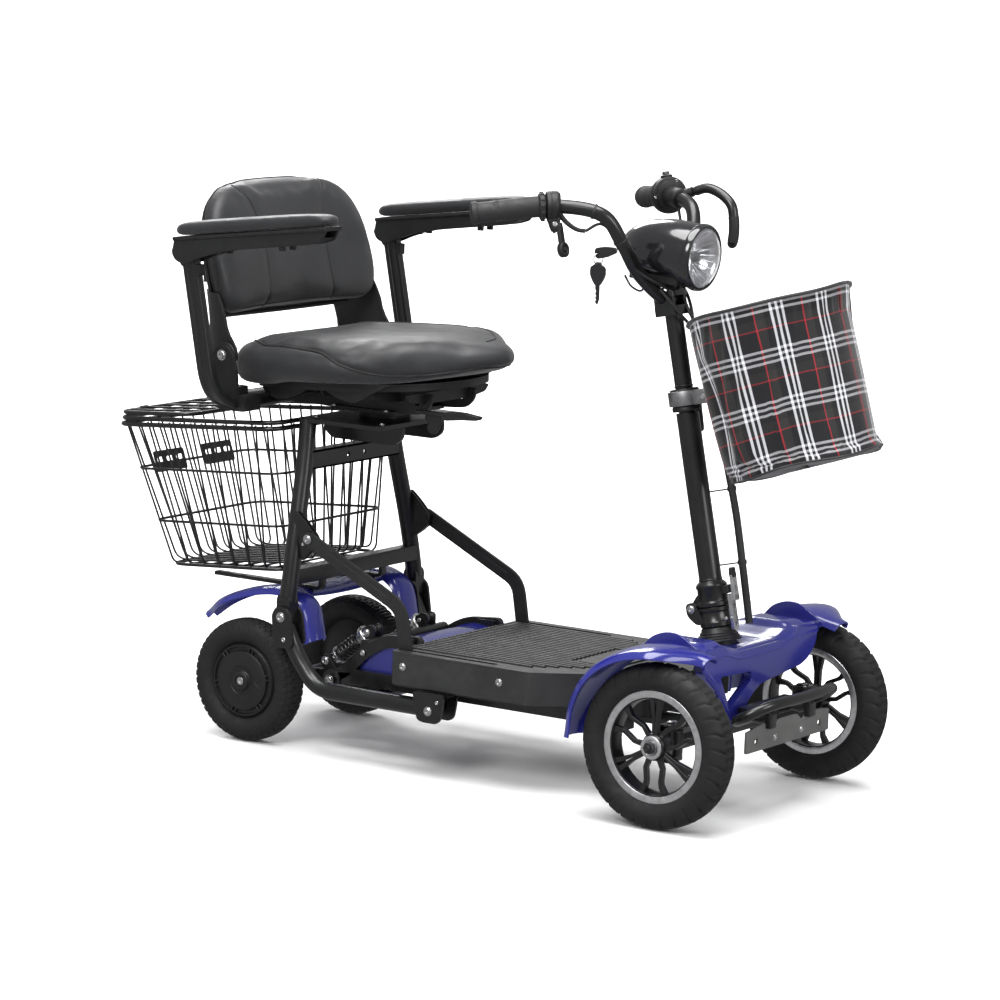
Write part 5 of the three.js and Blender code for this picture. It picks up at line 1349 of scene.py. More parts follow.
def add_headlight():
    """The lamp pod; here x runs forward from its tail to its lens, and z is up."""
    frame_here = pod_frame()
    stations = [(0, 5), (4, 17), (18, 31), (40, 43.5), (70, 50.5), (100, 52.5), (122, 51.5), (136, 50)]
    line = spline([(x, r, 0) for x, r in stations], 44)
    shell, sides = [], 72
    for x, r, _ in line:
        row = []
        for k in range(sides + 1):
            a = 2 * math.pi * k / sides
            wide, high = math.sin(a), math.cos(a)
            low = max(0.0, -high)
            lip = 1.5 * math.exp(-((high + 0.18) / 0.06) ** 2) * smooth_step(x / 40)
            cut = 1 - 0.24 * low ** 1.4 * smooth_step(x / 50) * smooth_step((134 - x) / 30)
            row.append(vec(x, (r * 1.02 + lip) * wide * cut, r * high * cut))
        shell.append(row)
    pod = Shape()
    pod.add(grid_part(shell), 0)
    pod.add(lathe([(46.6, 134), (50.6, 134), (52.6, 136.4), (52.6, 143), (50.4, 147), (47.4, 147.4),
                   (46.6, 145)], 72, (0, 0, 0), (1, 0, 0), closed=True), 0)
    # Dark tray below, with the plugs and wires that hang in it.
    pod.add(plate(rounded([(30, -27), (118, -27), (122, -10), (122, 10), (118, 27), (30, 27), (22, 12),
                           (22, -12)], 9), "xy", -46, -34), 1)
    for x, y, wide in ((46, -14, 10), (66, 10, 12), (88, -8, 11)):
        pod.add(box(x, x + 16, y - wide / 2, y + wide / 2, -55, -44), 1)
        pod.add(tube(spline([(x + 8, y, -54), (x - 2, y + 4, -66), (x - 22, y * 0.5, -62),
                             (x - 40, 0, -48)], 24), 1.9, 8), 2)
    for y in (-43, 43):
        pod.bolt((72, y * 1.13, -12), (0, np.sign(y), 0), 3.0)
    # Key switch at the tail, on the right.
    pod.add(lathe([(0, 0), (10, 0), (11, 1), (11, 7), (9.6, 8.2), (6.5, 8.2), (6, 7), (0, 7)], 32,
                  (10, -14, 6), unit((-1, -0.35, 0))), 1)
    pod.build("headlight_cowl", "handlebar_set", [GLOSS, MOULDED, CABLE, SILVER], "gloss_black",
              ["headlight_pod"], place=frame_here, bevel=0.6, angle=50)

    lens = Shape()
    lens.add(lathe([(0, 157.4), (16, 156.8), (30, 154.4), (40, 150.8), (45.6, 147), (46.4, 145),
                    (45, 144.6), (39.6, 148.8), (29.6, 152.4), (15.8, 154.8), (0, 155.4)],
                   72, (0, 0, 0), (1, 0, 0)), 0)
    lens.build("headlight_glass", "handlebar_set", [LENS], "lens", ["headlight_lens"], place=frame_here,
               angle=60)
    bowl = Shape()
    bowl.add(lathe([(0, 118), (9, 118.4), (20, 121), (32, 128), (40, 137), (44.5, 144), (46.2, 144.4),
                    (46.2, 142), (42, 135), (33, 125), (20, 118), (9, 115.6), (0, 115.4)],
                   72, (0, 0, 0), (1, 0, 0)), 0)
    bowl.add(lathe([(0, 118), (8.5, 118), (8.5, 131), (6.5, 135), (0, 136.4)], 32, (0, 0, 0), (1, 0, 0)), 1)
    for k in range(24):
        a = 2 * math.pi * k / 24
        out = vec(0, math.sin(a), math.cos(a))
        bowl.add(sweep([vec(119.5, 0, 0) + out * 12, vec(129.5, 0, 0) + out * 32, vec(140.5, 0, 0) + out
                        * 43], circle(0.8, 6)), 0)
    bowl.build("headlight_reflector", "handlebar_set", [CHROME, DECKING], "steel", place=frame_here,
               angle=60)

    key = Shape()
    fob = rounded([(-112, 623), (-108, 619), (-92, 619.5), (-82, 622), (-74, 624), (-74, 632), (-82, 634),
                   (-94, 636.5), (-108, 637), (-112, 633)], 4, 5)
    hole = [(-107 + 2.4 * math.sin(2 * math.pi * k / 12), 628 + 2.4 * math.cos(2 * math.pi * k / 12))
            for k in range(12)]
    key.add(plate(fob, "xz", -26.4, -19.4, [hole]), 0)
    key.add(plate(rounded([(-76, 625), (-72, 625), (-72, 631), (-76, 631)], 1.5), "xz", -24, -22), 1)
    key.build("ignition_key_head", "key", [DECKING, SILVER], "black_plastic", ["ignition_key"],
              place=COLUMN_FRAME, bevel=1.2)

    spare = Shape()
    eye = vec(-107, -22.9, 628)
    down = vec(-0.2045, 0, -0.9789)
    fore = vec(0.9789, 0, -0.2045)
    ring = [eye + down * (9 - 9 * math.cos(a)) + fore * 9 * math.sin(a) * 0.35 + vec(0, 1, 0) * 9
            * math.sin(a) * 0.93
            for a in np.linspace(0, 2 * math.pi, 40, endpoint=False)]
    spare.add(tube(ring, 0.9, 10, closed=True), 1)

    def flat(points):
        return [eye + down * (14 + b) + fore * a for a, b in points]

    bow = rounded([(-4, 0), (4, 0), (6, 4), (13.5, 8), (14, 20), (9, 30), (4, 37), (-4, 37), (-9, 30),
                   (-14, 20), (-13.5, 8), (-6, 4)], 4, 4)
    spare.add(slab(flat(bow), vec(0, 1, 0), 5.0), 0)
    blade = [(-4, 36), (4, 36), (4, 58), (1.4, 66), (-1.4, 66), (-4, 62), (-1.6, 59), (-4, 56), (-1.6, 53),
             (-4, 50), (-2.2, 46), (-4, 42)]
    spare.add(slab(flat(blade), vec(0, 1, 0), 2.0), 2)
    spare.build("spare_key", "handlebar_set", [GLOSS, SILVER, DARK_STEEL], "black_plastic",
                place=COLUMN_FRAME, bevel=0.5)


def slab(outline, across, thickness):
    """A flat outline in space, given a thickness across it."""
    n = len(outline)
    verts = [np.asarray(q) + across * t for t in (-thickness / 2, thickness / 2) for q in outline]
    faces = [tuple(range(n)), tuple(range(2 * n - 1, n - 1, -1))]
    faces += [(i, (i + 1) % n, n + (i + 1) % n, n + i) for i in range(n)]
    return verts, faces


def add_cables():
    route = [(22, 14, 500), (30, 22, 470), (34, 30, 400), (36, 34, 300), (44, 30, 200), (46, 25, 120),
             (44, 26, 60), (43, 26, 26)]
    line = spline(route, 150)
    bundle = Shape()
    bundle.add(tube(line, 6.0, 20), 0)
    turns = 46
    seed = vec(1, 0, 0)
    wrap = []
    for k, q in enumerate(line):
        t = unit(line[min(k + 1, 149)] - line[max(k - 1, 0)])
        first = unit(seed - t * np.dot(seed, t))
        second = np.cross(t, first)
        a = 2 * math.pi * turns * k / 149
        wrap.append(q + 6.0 * (math.cos(a) * first + math.sin(a) * second))
    dense = even(spline(wrap, 1100), 1100)
    bundle.add(tube(dense, 0.7, 6), 0)
    for k in (34, 82, 118):
        ring = [tuple(q) for q in line[k:k + 3]]
        bundle.add(sweep(ring, circle(7.4, 20)), 0)
        bundle.add(tube([line[k + 1], line[k + 1] * vec(0, 0, 1) + unit(line[k + 1] * vec(1, 1, 0)) * 17],
                        1.3, 8), 0)
    bundle.build("cable_run", "column", [CABLE], "rubber", ["cable_bundle"], place=COLUMN_FRAME, angle=60)


def add_bracket():
    low, high = 375, 398
    ring = [(25.2 * math.cos(a), 25.2 * math.sin(a)) for a in np.linspace(0.62, 2 * math.pi - 0.62, 48)]
    path = [(61, 22), (42, 22), (30, 21)] + ring + [(30, -21), (42, -22), (61, -22)]
    strap_part = Shape()
    middle = (low + high) / 2
    strap_part.add(sweep(bent([(n, y, middle) for n, y in path], 5, 3),
                         rounded_rect((high - low) / 2, 1.5, 0.8, 2), side=UP), 0)
    strap_part.add(sweep([(61, -34, middle), (61, 34, middle)], rounded_rect(11, 1.4, 0.7, 2), side=UP), 0)
    for y in (-22, 22):
        strap_part.bolt((46, y + np.sign(y) * 1.4, middle), (0, np.sign(y), 0), 3.2)
    strap_part.build("bag_strap", "column", [GREY_STEEL, SILVER], "steel", ["basket_bracket"],
                     place=COLUMN_FRAME, bevel=0.5)


# ---- plaid bag ------------------------------------------------------------------------------
BAG_RIM, BAG_BASE, BAG_RIM_R, BAG_BASE_R = vec(171, 0, 518), vec(202, 0, 261), 126.0, 117.0
BAG_DEPTH = float(np.linalg.norm(BAG_RIM - BAG_BASE))


def bag_frame():
    upward = unit(BAG_RIM - BAG_BASE)
    local = np.eye(4)
    local[:3, 0], local[:3, 1], local[:3, 2] = np.cross(vec(0, 1, 0), upward), vec(0, 1, 0), upward
    local[:3, 3] = BAG_BASE
    return COLUMN_FRAME @ local


def bag_radius(h):
    t = h / BAG_DEPTH
    return BAG_BASE_R + (BAG_RIM_R - 1.5 - BAG_BASE_R) * t ** 0.9 + 1.5 * math.sin(math.pi * t)


def bag_point(a, h):
    t = h / BAG_DEPTH
    drape = 1.8 * math.sin(7 * a + 0.6 + 1.4 * t) * (1 - t) ** 1.3 + 1.1 * math.sin(13 * a + 2.0) * (1
            - t) ** 2
    gather = 0.5 * math.sin(31 * a) * max(0.0, (t - 0.86) / 0.14)
    crease = 15 * math.exp(-((a - 4.05) / 0.2) ** 2) * math.sin(math.pi * min(1.0, t * 1.15)) ** 1.2
    crease += 7 * math.exp(-((a - 5.75) / 0.16) ** 2) * math.sin(math.pi * t) * smooth_step((0.6 - t) / 0.4)
    puff = 4.0 * math.exp(-((a - 4.45) / 0.22) ** 2) * math.sin(math.pi * t)
    r = bag_radius(h) + drape + gather - crease + puff
    dip = (2.4 * math.sin(3 * a + 0.9) + 1.2 * math.sin(5 * a)) * t ** 2 + 3.0 * math.sin(4 * a + 0.4) * (1
            - t) ** 3
    return (r * math.cos(a), r * math.sin(a), h + dip - 1.0)


def add_bag():
    frame_here = bag_frame()
    around, rows = 240, 72
    verts, uv, faces = [], [], []
    for j in range(rows + 1):
        h = 3.0 + (BAG_DEPTH - 6.0) * j / rows
        for i in range(around + 1):
            a = 2 * math.pi * (i % around) / around
            verts.append(bag_point(a, h))
            uv.append((i / around * 2 * math.pi * 0.1215, h / 1000))
    wide = around + 1
    for j in range(rows):
        faces.extend((j * wide + i, j * wide + i + 1, (j + 1) * wide + i + 1, (j + 1) * wide + i)
                     for i in range(around))
    wall = Shape()
    wall.add((verts, faces))
    piece = wall.build("plaid_bag_wall", "column", [PLAID], "plaid", ["plaid_basket"], place=frame_here,
                       uv=uv, angle=180)
    weld(piece)
    drape_cloth(piece, frame_here)
    thicken(piece, 1.6, rim_bevel=0.0)

    floor = Shape()
    rings = []
    for k in range(14):
        t = k / 13
        rings.append([vec(*(vec(*bag_point(a, 3.0)) * vec(t, t, 1)
                            + vec(0, 0, -2.2 * (1 - t ** 2) + 0.8 * math.sin(3 * a) * t)))
                      for a in np.linspace(0, 2 * math.pi, 121)])
    floor.add(grid_part(rings))
    base = floor.build("bag_floor", "column", [BLACK_LINING], "plaid", place=frame_here, angle=80)
    thicken(base, 2.4, rim_bevel=0.0)

    trim = Shape()
    loop = [bag_point(a, BAG_DEPTH - 6.0) for a in np.linspace(0, 2 * math.pi, 180, endpoint=False)]
    trim.add(sweep(loop, rounded_rect(2.6, 6.4, 2.2, 3), closed=True, side=UP), 0)
    low = [vec(*bag_point(a, 3.4)) + vec(0, 0, -1.2)
           for a in np.linspace(0, 2 * math.pi, 180, endpoint=False)]
    trim.add(tube(low, 1.9, 10, closed=True), 0)
    for side in (1, -1):
        hook = []
        for x, y, z in ((-117, 30, 250), (-128, 26, 244), (-134, 20, 226), (-132, 14, 206),
                        (-122, 10, 196)):
            hook.append((x, side * y, z))
        trim.add(tube(spline(hook, 30), 2.0, 10), 1)
    trim.add(tube(spline([(-122, -34, 140), (-126, -12, 138), (-126, 12, 138), (-122, 34, 140)], 24), 2.0,
                  10), 1)
    trim.build("bag_rim_wire", "column", [BLACK_LINING, BLACK_PAINT], "plaid", place=frame_here, angle=60)


def weld(piece):
    bm = bmesh.new()
    bm.from_mesh(piece.data)
    bmesh.ops.remove_doubles(bm, verts=bm.verts[:], dist=1e-6)
    bm.to_mesh(piece.data)
    bm.free()


def drape_cloth(piece, frame_here):
    """Lets the cloth fall into folds between its rim wire and its stiff floor."""
    back = np.linalg.inv(frame_here)
    world = np.array([v.co for v in piece.data.vertices]) * 1000 - vec(OFFSET, 0, 0)
    height = (world @ back[:3, :3].T + back[:3, 3])[:, 2] / BAG_DEPTH
    run_cloth(piece, pinned=[(i, 1.0) for i, h in enumerate(height) if h > 0.965 or h < 0.03], frames=18,
              reach=0.007,
              shrink_min=-0.022, bending=0.35, gravity=1.0, quality=7)


def run_cloth(piece, pinned, frames, reach, shrink_min=0.0, bending=0.5, gravity=0.0, quality=5,
              pressure=0.0, stiffness=15.0):
    """Runs a short cloth simulation on a piece, and keeps how far each point moves under reach."""
    world = piece.matrix_world.copy()
    work = bpy.data.objects.new("cloth_work", piece.data.copy())
    bpy.context.scene.collection.objects.link(work)
    work.matrix_world = world
    group = work.vertex_groups.new(name="pinned")
    for index, weight in pinned:
        group.add([index], weight, "REPLACE")
    cloth = work.modifiers.new("cloth", "CLOTH")
    settings = cloth.settings
    settings.quality = quality
    settings.mass = 0.15
    settings.tension_stiffness = settings.compression_stiffness = stiffness
    settings.shear_stiffness = 5
    settings.bending_stiffness = bending
    settings.shrink_min = shrink_min
    settings.effector_weights.gravity = gravity
    if pinned:
        settings.vertex_group_mass = "pinned"
    if pressure:
        settings.use_pressure = True
        settings.uniform_pressure_force = pressure
    cloth.collision_settings.use_collision = False
    cloth.point_cache.frame_start, cloth.point_cache.frame_end = 1, frames
    before = np.array([v.co for v in work.data.vertices])
    for step in range(1, frames + 1):
        bpy.context.scene.frame_set(step)
    graph = bpy.context.evaluated_depsgraph_get()
    moved = np.array([v.co for v in work.evaluated_get(graph).data.vertices])
    change = moved - before
    size = np.linalg.norm(change, axis=1, keepdims=True)
    change *= np.minimum(1.0, reach / np.maximum(size, 1e-9))
    piece.data.vertices.foreach_set("co", (before + change).ravel())
    piece.data.update()
    bpy.context.scene.frame_set(1)
    bpy.data.objects.remove(work, do_unlink=True)


BLACK_LINING = leather("black_lining_cloth", (0.012, 0.012, 0.013))

add_column()
add_handlebar()
add_headlight()
add_cables()
add_bracket()
add_bag()


# ---- seat frame, stay links and rear basket -------------------------------------------------
POST = [(-325, 177, 222), (-325, 172, 272), (-328, 156, 345), (-335, 126, 462), (-340, 112, 534)]


def add_seat_frame():
    tower = Shape()
    for _, s in SIDES:
        route = [(-325, s * 177, 245)] + [(x, s * y, z) for x, y, z in POST[1:]]
        tower.add(tube(spline(route, 60), 14, 24), 0)
        foot = rounded([(-337, 210), (-313, 210), (-312, 250), (-316, 258), (-334, 258), (-338, 250)], 7, 5)
        tower.add(plate(foot, "xz", *sorted((s * 164.8, s * 189.2))), 0)
        gusset = rounded([(-334, 302), (-326, 396), (-302, 376), (-279, 352), (-281, 338), (-300, 322)], 11,
                         5)
        for y in (154.4, 161.2):
            tower.add(plate(gusset, "xz", *sorted((s * (y - 1.4), s * (y + 1.4)))), 0)
        tower.bolt((-293, s * 170.6, 350), (0, s, 0), 6.2)
        tower.bolt((-307, s * 162.6, 340), (0, s, 0), 2.4)
        tower.bolt((-325, s * 189.4, 232), (0, s, 0), 3.0)
    bar = rounded([(-122, 455), (122, 455), (122, 485), (-122, 485)], 2)
    holes = [[(y + 4 * math.cos(a), 470 + 4 * math.sin(a))
              for a in np.linspace(0, 2 * math.pi, 16, endpoint=False)] for y in (-22, 22)]
    tower.add(plate(bar, "yz", -326, -322.4, holes), 0)
    tower.add(box(-346, -322.4, -121, 121, 482, 485), 0)
    tower.add(box(-346, -322.4, -121, 121, 455, 458), 0)
    tower.add(sweep([(-324, -168, 285), (-324, 168, 285)], rounded_rect(12, 12.6, 2.5, 3), side=(1, 0, 0)),
              0)
    tower.add(plate(rounded([(-346, -125), (-190, -125), (-190, 125), (-346, 125)], 14, 5), "xy", 531, 538),
              0)
    for y in (-56, 56):
        web = rounded([(-346, 534), (-346, 512), (-330, 500), (-206, 500), (-190, 512), (-190, 534)], 8, 4)
        tower.add(plate(web, "xz", y - 3, y + 3), 0)
    tower.add(lathe([(12, 538), (42, 538), (42, 545.2), (40, 545.6), (12, 545.6)], 56, (-268, 0, 0), UP,
                    closed=True), 2)
    for x, y in ((-334, -98), (-334, 98), (-204, -98), (-204, 98)):
        tower.bolt((x, y, 538), UP, 4.2)
    # Two bars that carry the basket.
    for y in (-84, 84):
        path = [(-324, y, 286), (-324, y, 255.5), (-540, y, 255.5)]
        tower.add(sweep(bent(path, 8), rounded_rect(7.6, 3.4, 2), side=(0, 1, 0)), 0)
    tower.build("seat_tower_tubes", "seat_tower", [BLACK_PAINT, SILVER, DARK_STEEL], "black_paint",
                ["seat_frame"], bevel=0.9)

    for side_name, s in SIDES:
        link = Shape()
        y = s * 166.5
        link.add(plate(strap([(-293, 350), (-108, 261), (-92, 166)], 24, 10), "xz", y - 2.6, y + 2.6), 0)
        link.add(plate(strap([(-262, 335), (-130, 271.5)], 6, 8), "xz", y - 3.3, y + 3.3), 0)
        link.bolt((-293, y + s * 2.6, 350), (0, s, 0), 5.5)
        link.bolt((-92, y + s * 2.6, 170), (0, s, 0), 4.6)
        link.build(f"stay_bar_{side_name}", f"stay_{side_name}", [MATT_PAINT, SILVER], "black_paint",
                   [f"stay_link_{side_name}"], bevel=0.8)


TOP_LEVEL = (-690, -368, 165)
LOW_LEVEL = (-602, -368, 132)


def basket_level(t):
    """Rear, front, half width and height at x = 0 of the basket at level t, 0 at its floor, 1 at its rim."""
    rear, front, half = (b + (a - b) * t for a, b in zip(TOP_LEVEL, LOW_LEVEL))
    return rear, front, half, 262 + 243 * t + 690 * 0.073


def basket_loop(t, grow=0.0, lift=0.0, front=None):
    rear, ahead, half, level = basket_level(t)
    ahead = ahead if front is None else front
    corners = [(rear - grow, -half - grow), (ahead + grow, -half - grow), (ahead + grow, half + grow),
               (rear - grow, half + grow)]
    flat = rounded(corners, 34, 7)
    return [(x, y, level + 0.073 * x + lift) for x, y in flat]


def basket_point(t, x=None, y=None, side=None, end=None):
    """A point on a wall: on the side wall at x share, or on an end wall at y share."""
    rear, front, half, level = basket_level(t)
    if side is not None:
        at = rear + (front - rear) * x
        return vec(at, side * half, level + 0.073 * at)
    at = rear if end == "rear" else front
    return vec(at, y * half, level + 0.073 * at)


def add_basket():
    wires = Shape()
    wires.add(tube(basket_loop(1, 1.0, 1.2), 4.0, 12, closed=True), 0)
    wires.add(tube(basket_loop(1, 2.4, -8.6), 4.0, 12, closed=True), 0)
    for t in (0.66, 0.30):
        wires.add(tube(basket_loop(t, 2.6), 2.3, 10, closed=True), 0)
    wires.add(tube(basket_loop(0.0), 2.8, 10, closed=True), 0)
    slant = 0.045
    for k in range(14):
        share = 0.05 + 0.90 * k / 13
        lean = slant * (1 if k % 2 else -0.35)
        for g in (1, -1):
            top = basket_point(0.985, x=share, side=g)
            low = basket_point(0.05, x=0.02 + 0.96 * share + lean, side=g)
            floor = vec(low[0], g * 118, basket_level(0)[3] + 0.073 * low[0])
            inner = vec(low[0], 0, floor[2])
            wires.add(tube(bent([top, low - vec(0, 0, 6), floor, inner], 14, 5), 1.75, 8), 0)
    for k in range(11):
        share = -0.86 + 1.72 * k / 10
        top, low = basket_point(0.985, y=share, end="rear"), basket_point(0.04, y=share * 0.96, end="rear")
        ahead_low, ahead_top = basket_point(0.04, y=share * 0.96, end="front"), basket_point(0.985, y=share,
                                                                                             end="front")
        wires.add(tube(bent([top, low, low + vec(24, 0, -4), ahead_low + vec(-24, 0, -2), ahead_low,
                             ahead_top], 14, 5), 1.75, 8), 0)
    for y in (-84, 84):
        wires.add(sweep([(-590, y, 264.5), (-372, y, 282)], rounded_rect(5, 2.0, 1, 2), side=(0, 1, 0)), 0)
    # Plates with three slots, wired to the rear wall.
    for centre in (-0.42, 0.42):
        middle = basket_point(0.68, y=centre, end="rear")
        outline = rounded([(-40, -17), (40, -17), (40, 17), (-40, 17)], 4, 3)
        slots = [rounded([(a - 9, -1), (a + 9, -1), (a + 9, 7), (a - 9, 7)], 3.5, 3) for a in (-25, 0, 25)]
        verts, faces = plate(outline, "yz", -0.9, 0.9, slots)
        tilt = -0.36
        moved = [(middle[0] + 3.4 + x + z * tilt, middle[1] + y, middle[2] + z) for x, y, z in verts]
        wires.add((moved, faces), 1)
    wires.build("basket_wires", "seat_tower", [BLACK_PAINT, DARK_STEEL], "black_paint", ["rear_basket"],
                angle=60)

    lid = Shape()
    lid.add(tube(basket_loop(1, 0.4, 10.6, front=-539), 3.6, 12, closed=True), 0)
    rear, _, half, level = basket_level(1)
    for k in range(7):
        y = half * (-0.84 + 1.68 * k / 6)
        lift = 10.6 + level
        lid.add(tube(bent([(rear, y, lift + 0.073 * rear), (rear + 6, y, lift + 2 + 0.073 * rear),
                           (-545, y * 0.96, lift + 3 - 0.073 * 545), (-539, y * 0.96, lift - 0.073 * 539)],
                           4), 1.8, 8), 0)
    lid.add(tube([(-612, -half, level + 10.6 - 0.073 * 612), (-612, half, level + 10.6 - 0.073 * 612)], 2.0,
                 8), 0)
    for y in (-96, 96):
        lid.add(tube([(rear - 1, y + a, level + 0.073 * rear + 10.6) for a in (-8, 8)], 5.2, 14), 0)
    lid.build("basket_lid_wires", "basket_lid", [BLACK_PAINT], "black_paint", ["rear_basket_lid"], angle=60)


add_seat_frame()
add_basket()


# ---- seat -----------------------------------------------------------------------------------
def tipped(part):
    """Raises the upper edge of a pan part towards the front, to follow the cushion's tilt."""
    verts, faces = part
    return [(x, y, z + (x + 452) * 0.052 * smooth_step((z - 562) / 28)) for x, y, z in verts], faces


def add_seat_pan():
    pan = Shape()
    floor = rounded([(-436, -120), (-420, -168), (-330, -182), (-220, -172), (-150, -138), (-112, -84),
                     (-96, 0),
                     (-112, 84), (-150, 138), (-220, 172), (-330, 182), (-420, 168), (-436, 120)], 30, 6)
    floor = [(x * 0.96 - 10, y * 0.93) for x, y in floor]
    pan.add(tipped(plate(floor, "xy", 590, 594)), 0)
    inner = [(x * 0.985 - 4, y * 0.97) for x, y in floor]
    pan.add(tipped(skirt(floor, inner, 584, 591)), 0)
    wing = rounded([(-430, 592), (-424, 574), (-392, 560), (-340, 572), (-300, 586), (-262, 572),
                    (-214, 566), (-170, 578), (-126, 592)], 16, 6)
    for y in (-150, -100, -66, 66, 100, 150):
        short = abs(y) > 90
        shape = [(x * (0.86 if short else 1) - (38 if short else 0), z + (5 if short else 0)) for x,
                 z in wing]
        pan.add(tipped(plate(shape, "xz", y - 2, y + 2)), 0)
    for x in (-400, -340, -290, -240, -190, -146):
        half = 150 if x < -180 else 118
        pan.add(plate(rounded([(-half, 592), (-half + 10, 580), (-66, 574), (66, 574), (half - 10, 580),
                               (half, 592)], 6, 3), "yz", x - 1.6, x + 1.6), 0)
    # Swivel bracket: a plate on the turntable, with two scalloped side flanges.
    pan.add(plate(rounded([(-330, -70), (-196, -70), (-196, 70), (-330, 70)], 8, 4), "xy", 550, 556), 1)
    pan.add(lathe([(14, 546.2), (42, 546.2), (42, 551), (14, 551)], 56, (-268, 0, 0), UP, closed=True), 1)
    scallop = rounded([(-438, 590), (-438, 553), (-330, 552), (-322, 550.2), (-206, 550.2), (-196, 553),
                       (-150, 556), (-134, 570), (-130, 590)], 10, 5)
    hole = [(-160 + 4.5 * math.cos(a), 574 + 4.5 * math.sin(a))
            for a in np.linspace(0, 2 * math.pi, 16, endpoint=False)]
    for y in (-61, 61):
        pan.add(plate(scallop, "xz", y - 2.6, y + 2.6, [hole]), 1)
        for x in (-318, -214):
            pan.bolt((x, y * 1.2, 556), UP, 3.6, mat=2)
    # Sleeve across the back that takes the armrest bars, and the front lip.
    pan.add(plate(rounded([(-438, 551), (-386, 551), (-386, 577), (-438, 577)], 4, 3), "xz", -222, -180), 0)
    pan.add(plate(rounded([(-438, 551), (-386, 551), (-386, 577), (-438, 577)], 4, 3), "xz", 180, 222), 0)
    pan.add(box(-436, -388, -181, 181, 572.6, 577), 0)
    pan.add(box(-438, -430, -181, 181, 553, 577), 0)
    ear = rounded([(-448, 560), (-398, 556), (-400, 612), (-408, 640), (-420, 655), (-438, 656),
                   (-449, 640)], 12, 5)
    for _, s in SIDES:
        pan.add(plate(ear, "xz", *sorted((s * 221.2, s * 227.6))), 0)
        pan.add(box(-436, -404, *sorted((s * 190, s * 222)), 577, 590), 0)
        pan.bolt((-430, s * 227.6, 640), (0, s, 0), 7.0, mat=2)
    pan.build("seat_pan_moulding", "seat", [MOULDED, MATT_PAINT, SILVER], "black_plastic", ["seat_pan"],
              bevel=0.8)

    lever = Shape()
    lever.add(sweep(bent([(-150, -78, 563), (-90, -78, 563), (-60, -78, 561)], 10), rounded_rect(6, 3, 1.4),
                    side=(0, 1, 0)), 0)
    lever.add(plate(rounded([(-92, 554), (-60, 558), (-30, 560), (-26, 566), (-60, 570), (-92, 568)], 4, 4),
                    "xz", -85, -71), 0)
    lever.add(plate(rounded([(-132, 564), (-104, 564), (-102, 548), (-108, 534), (-120, 528), (-130, 538),
                             (-126, 548), (-134, 552)], 6, 4), "xz", -80, -75), 0)
    lever.build("swivel_handle", "swivel_release", [MOULDED], "black_plastic", ["swivel_lever"], bevel=1.2)


def bezier(start, curves, count=10):
    """Points along joined cubic curves, each given as two handles and an end."""
    out, a = [], vec(*start)
    for b, c, d in curves:
        b, c, d = vec(*b), vec(*c), vec(*d)
        out.extend((1 - t) ** 3 * a + 3 * t * (1 - t) ** 2 * b + 3 * t * t * (1 - t) * c + t ** 3 * d
                   for t in np.arange(count) / count)
        a = d
    return np.array(out)


def pad_shell(outline, rings, to_space):
    """A closed pillow. Rings go from the middle of the back, over the edge, to the middle of the face."""
    centre = outline.mean(0)
    verts = []
    for share, depth in rings:
        for q in outline:
            flat = centre + (q - centre) * share
            verts.append(to_space(flat[0], flat[1], depth))
    n, m = len(outline), len(rings)
    faces = []
    for r in range(m - 1):
        faces.extend((r * n + i, r * n + (i + 1) % n, (r + 1) * n + (i + 1) % n, (r + 1) * n + i)
                     for i in range(n))
    faces.append(tuple(range(n - 1, -1, -1)))
    faces.append(tuple((m - 1) * n + i for i in range(n)))
    return verts, faces


# A foam pad is stiff: it swells a little in a short simulation, and then its skin is evened out.
SETTLE_FRAMES, FOAM_BENDING, FOAM_STIFFNESS, EVEN_PASSES = 20, 12.0, 40.0, 14


def soft_pad(name, body, part, nodes, seams, voxel, hold, reach, place=None, depth=3.2, width=3.6,
             pressure=4.0):
    """A foam pad: inflated by a short cloth simulation, then drawn in along its seams."""
    piece = Shape().add(part).build(name, body, [VINYL], "vinyl", nodes, place=place, angle=180)
    mod = piece.modifiers.new("remesh", "REMESH")
    mod.mode = "VOXEL"
    mod.voxel_size = voxel / 1000
    mod.use_smooth_shade = True
    bake_modifiers(piece)
    settle = piece.modifiers.new("settle", "SMOOTH")
    settle.factor, settle.iterations = 0.5, 4
    bake_modifiers(piece)
    points = (np.array([v.co for v in piece.data.vertices]) * 1000) - vec(OFFSET, 0, 0)
    pinned = [(i, 1.0) for i, q in enumerate(points) if hold(q)]
    run_cloth(piece, pinned, SETTLE_FRAMES, reach / 1000, bending=FOAM_BENDING, pressure=pressure,
              stiffness=FOAM_STIFFNESS)
    even_out = piece.modifiers.new("even", "SMOOTH")
    even_out.factor, even_out.iterations = 0.5, EVEN_PASSES
    bake_modifiers(piece)
    points = np.array([v.co for v in piece.data.vertices]) * 1000 - vec(OFFSET, 0, 0)
    normals = np.array([v.normal for v in piece.data.vertices])
    sink = np.zeros(len(points))
    for seam in seams:
        line = np.asarray(seam)
        near = np.full(len(points), 1e9)
        for a, b in zip(line, line[1:]):
            run = b - a
            t = np.clip(((points - a) @ run) / max(run @ run, 1e-9), 0, 1)
            near = np.minimum(near, np.linalg.norm(points - (a + t[:, None] * run), axis=1))
        sink = np.maximum(sink, depth * np.exp(-(near / width) ** 2) + 0.35 * depth
                          * np.exp(-(near / (4 * width)) ** 2))
    points -= normals * sink[:, None]
    piece.data.vertices.foreach_set("co", ((points + vec(OFFSET, 0, 0)) / 1000).ravel())
    piece.data.update()
    mod = piece.modifiers.new("subdivide", "SUBSURF")
    mod.levels = mod.render_levels = 1
    return piece


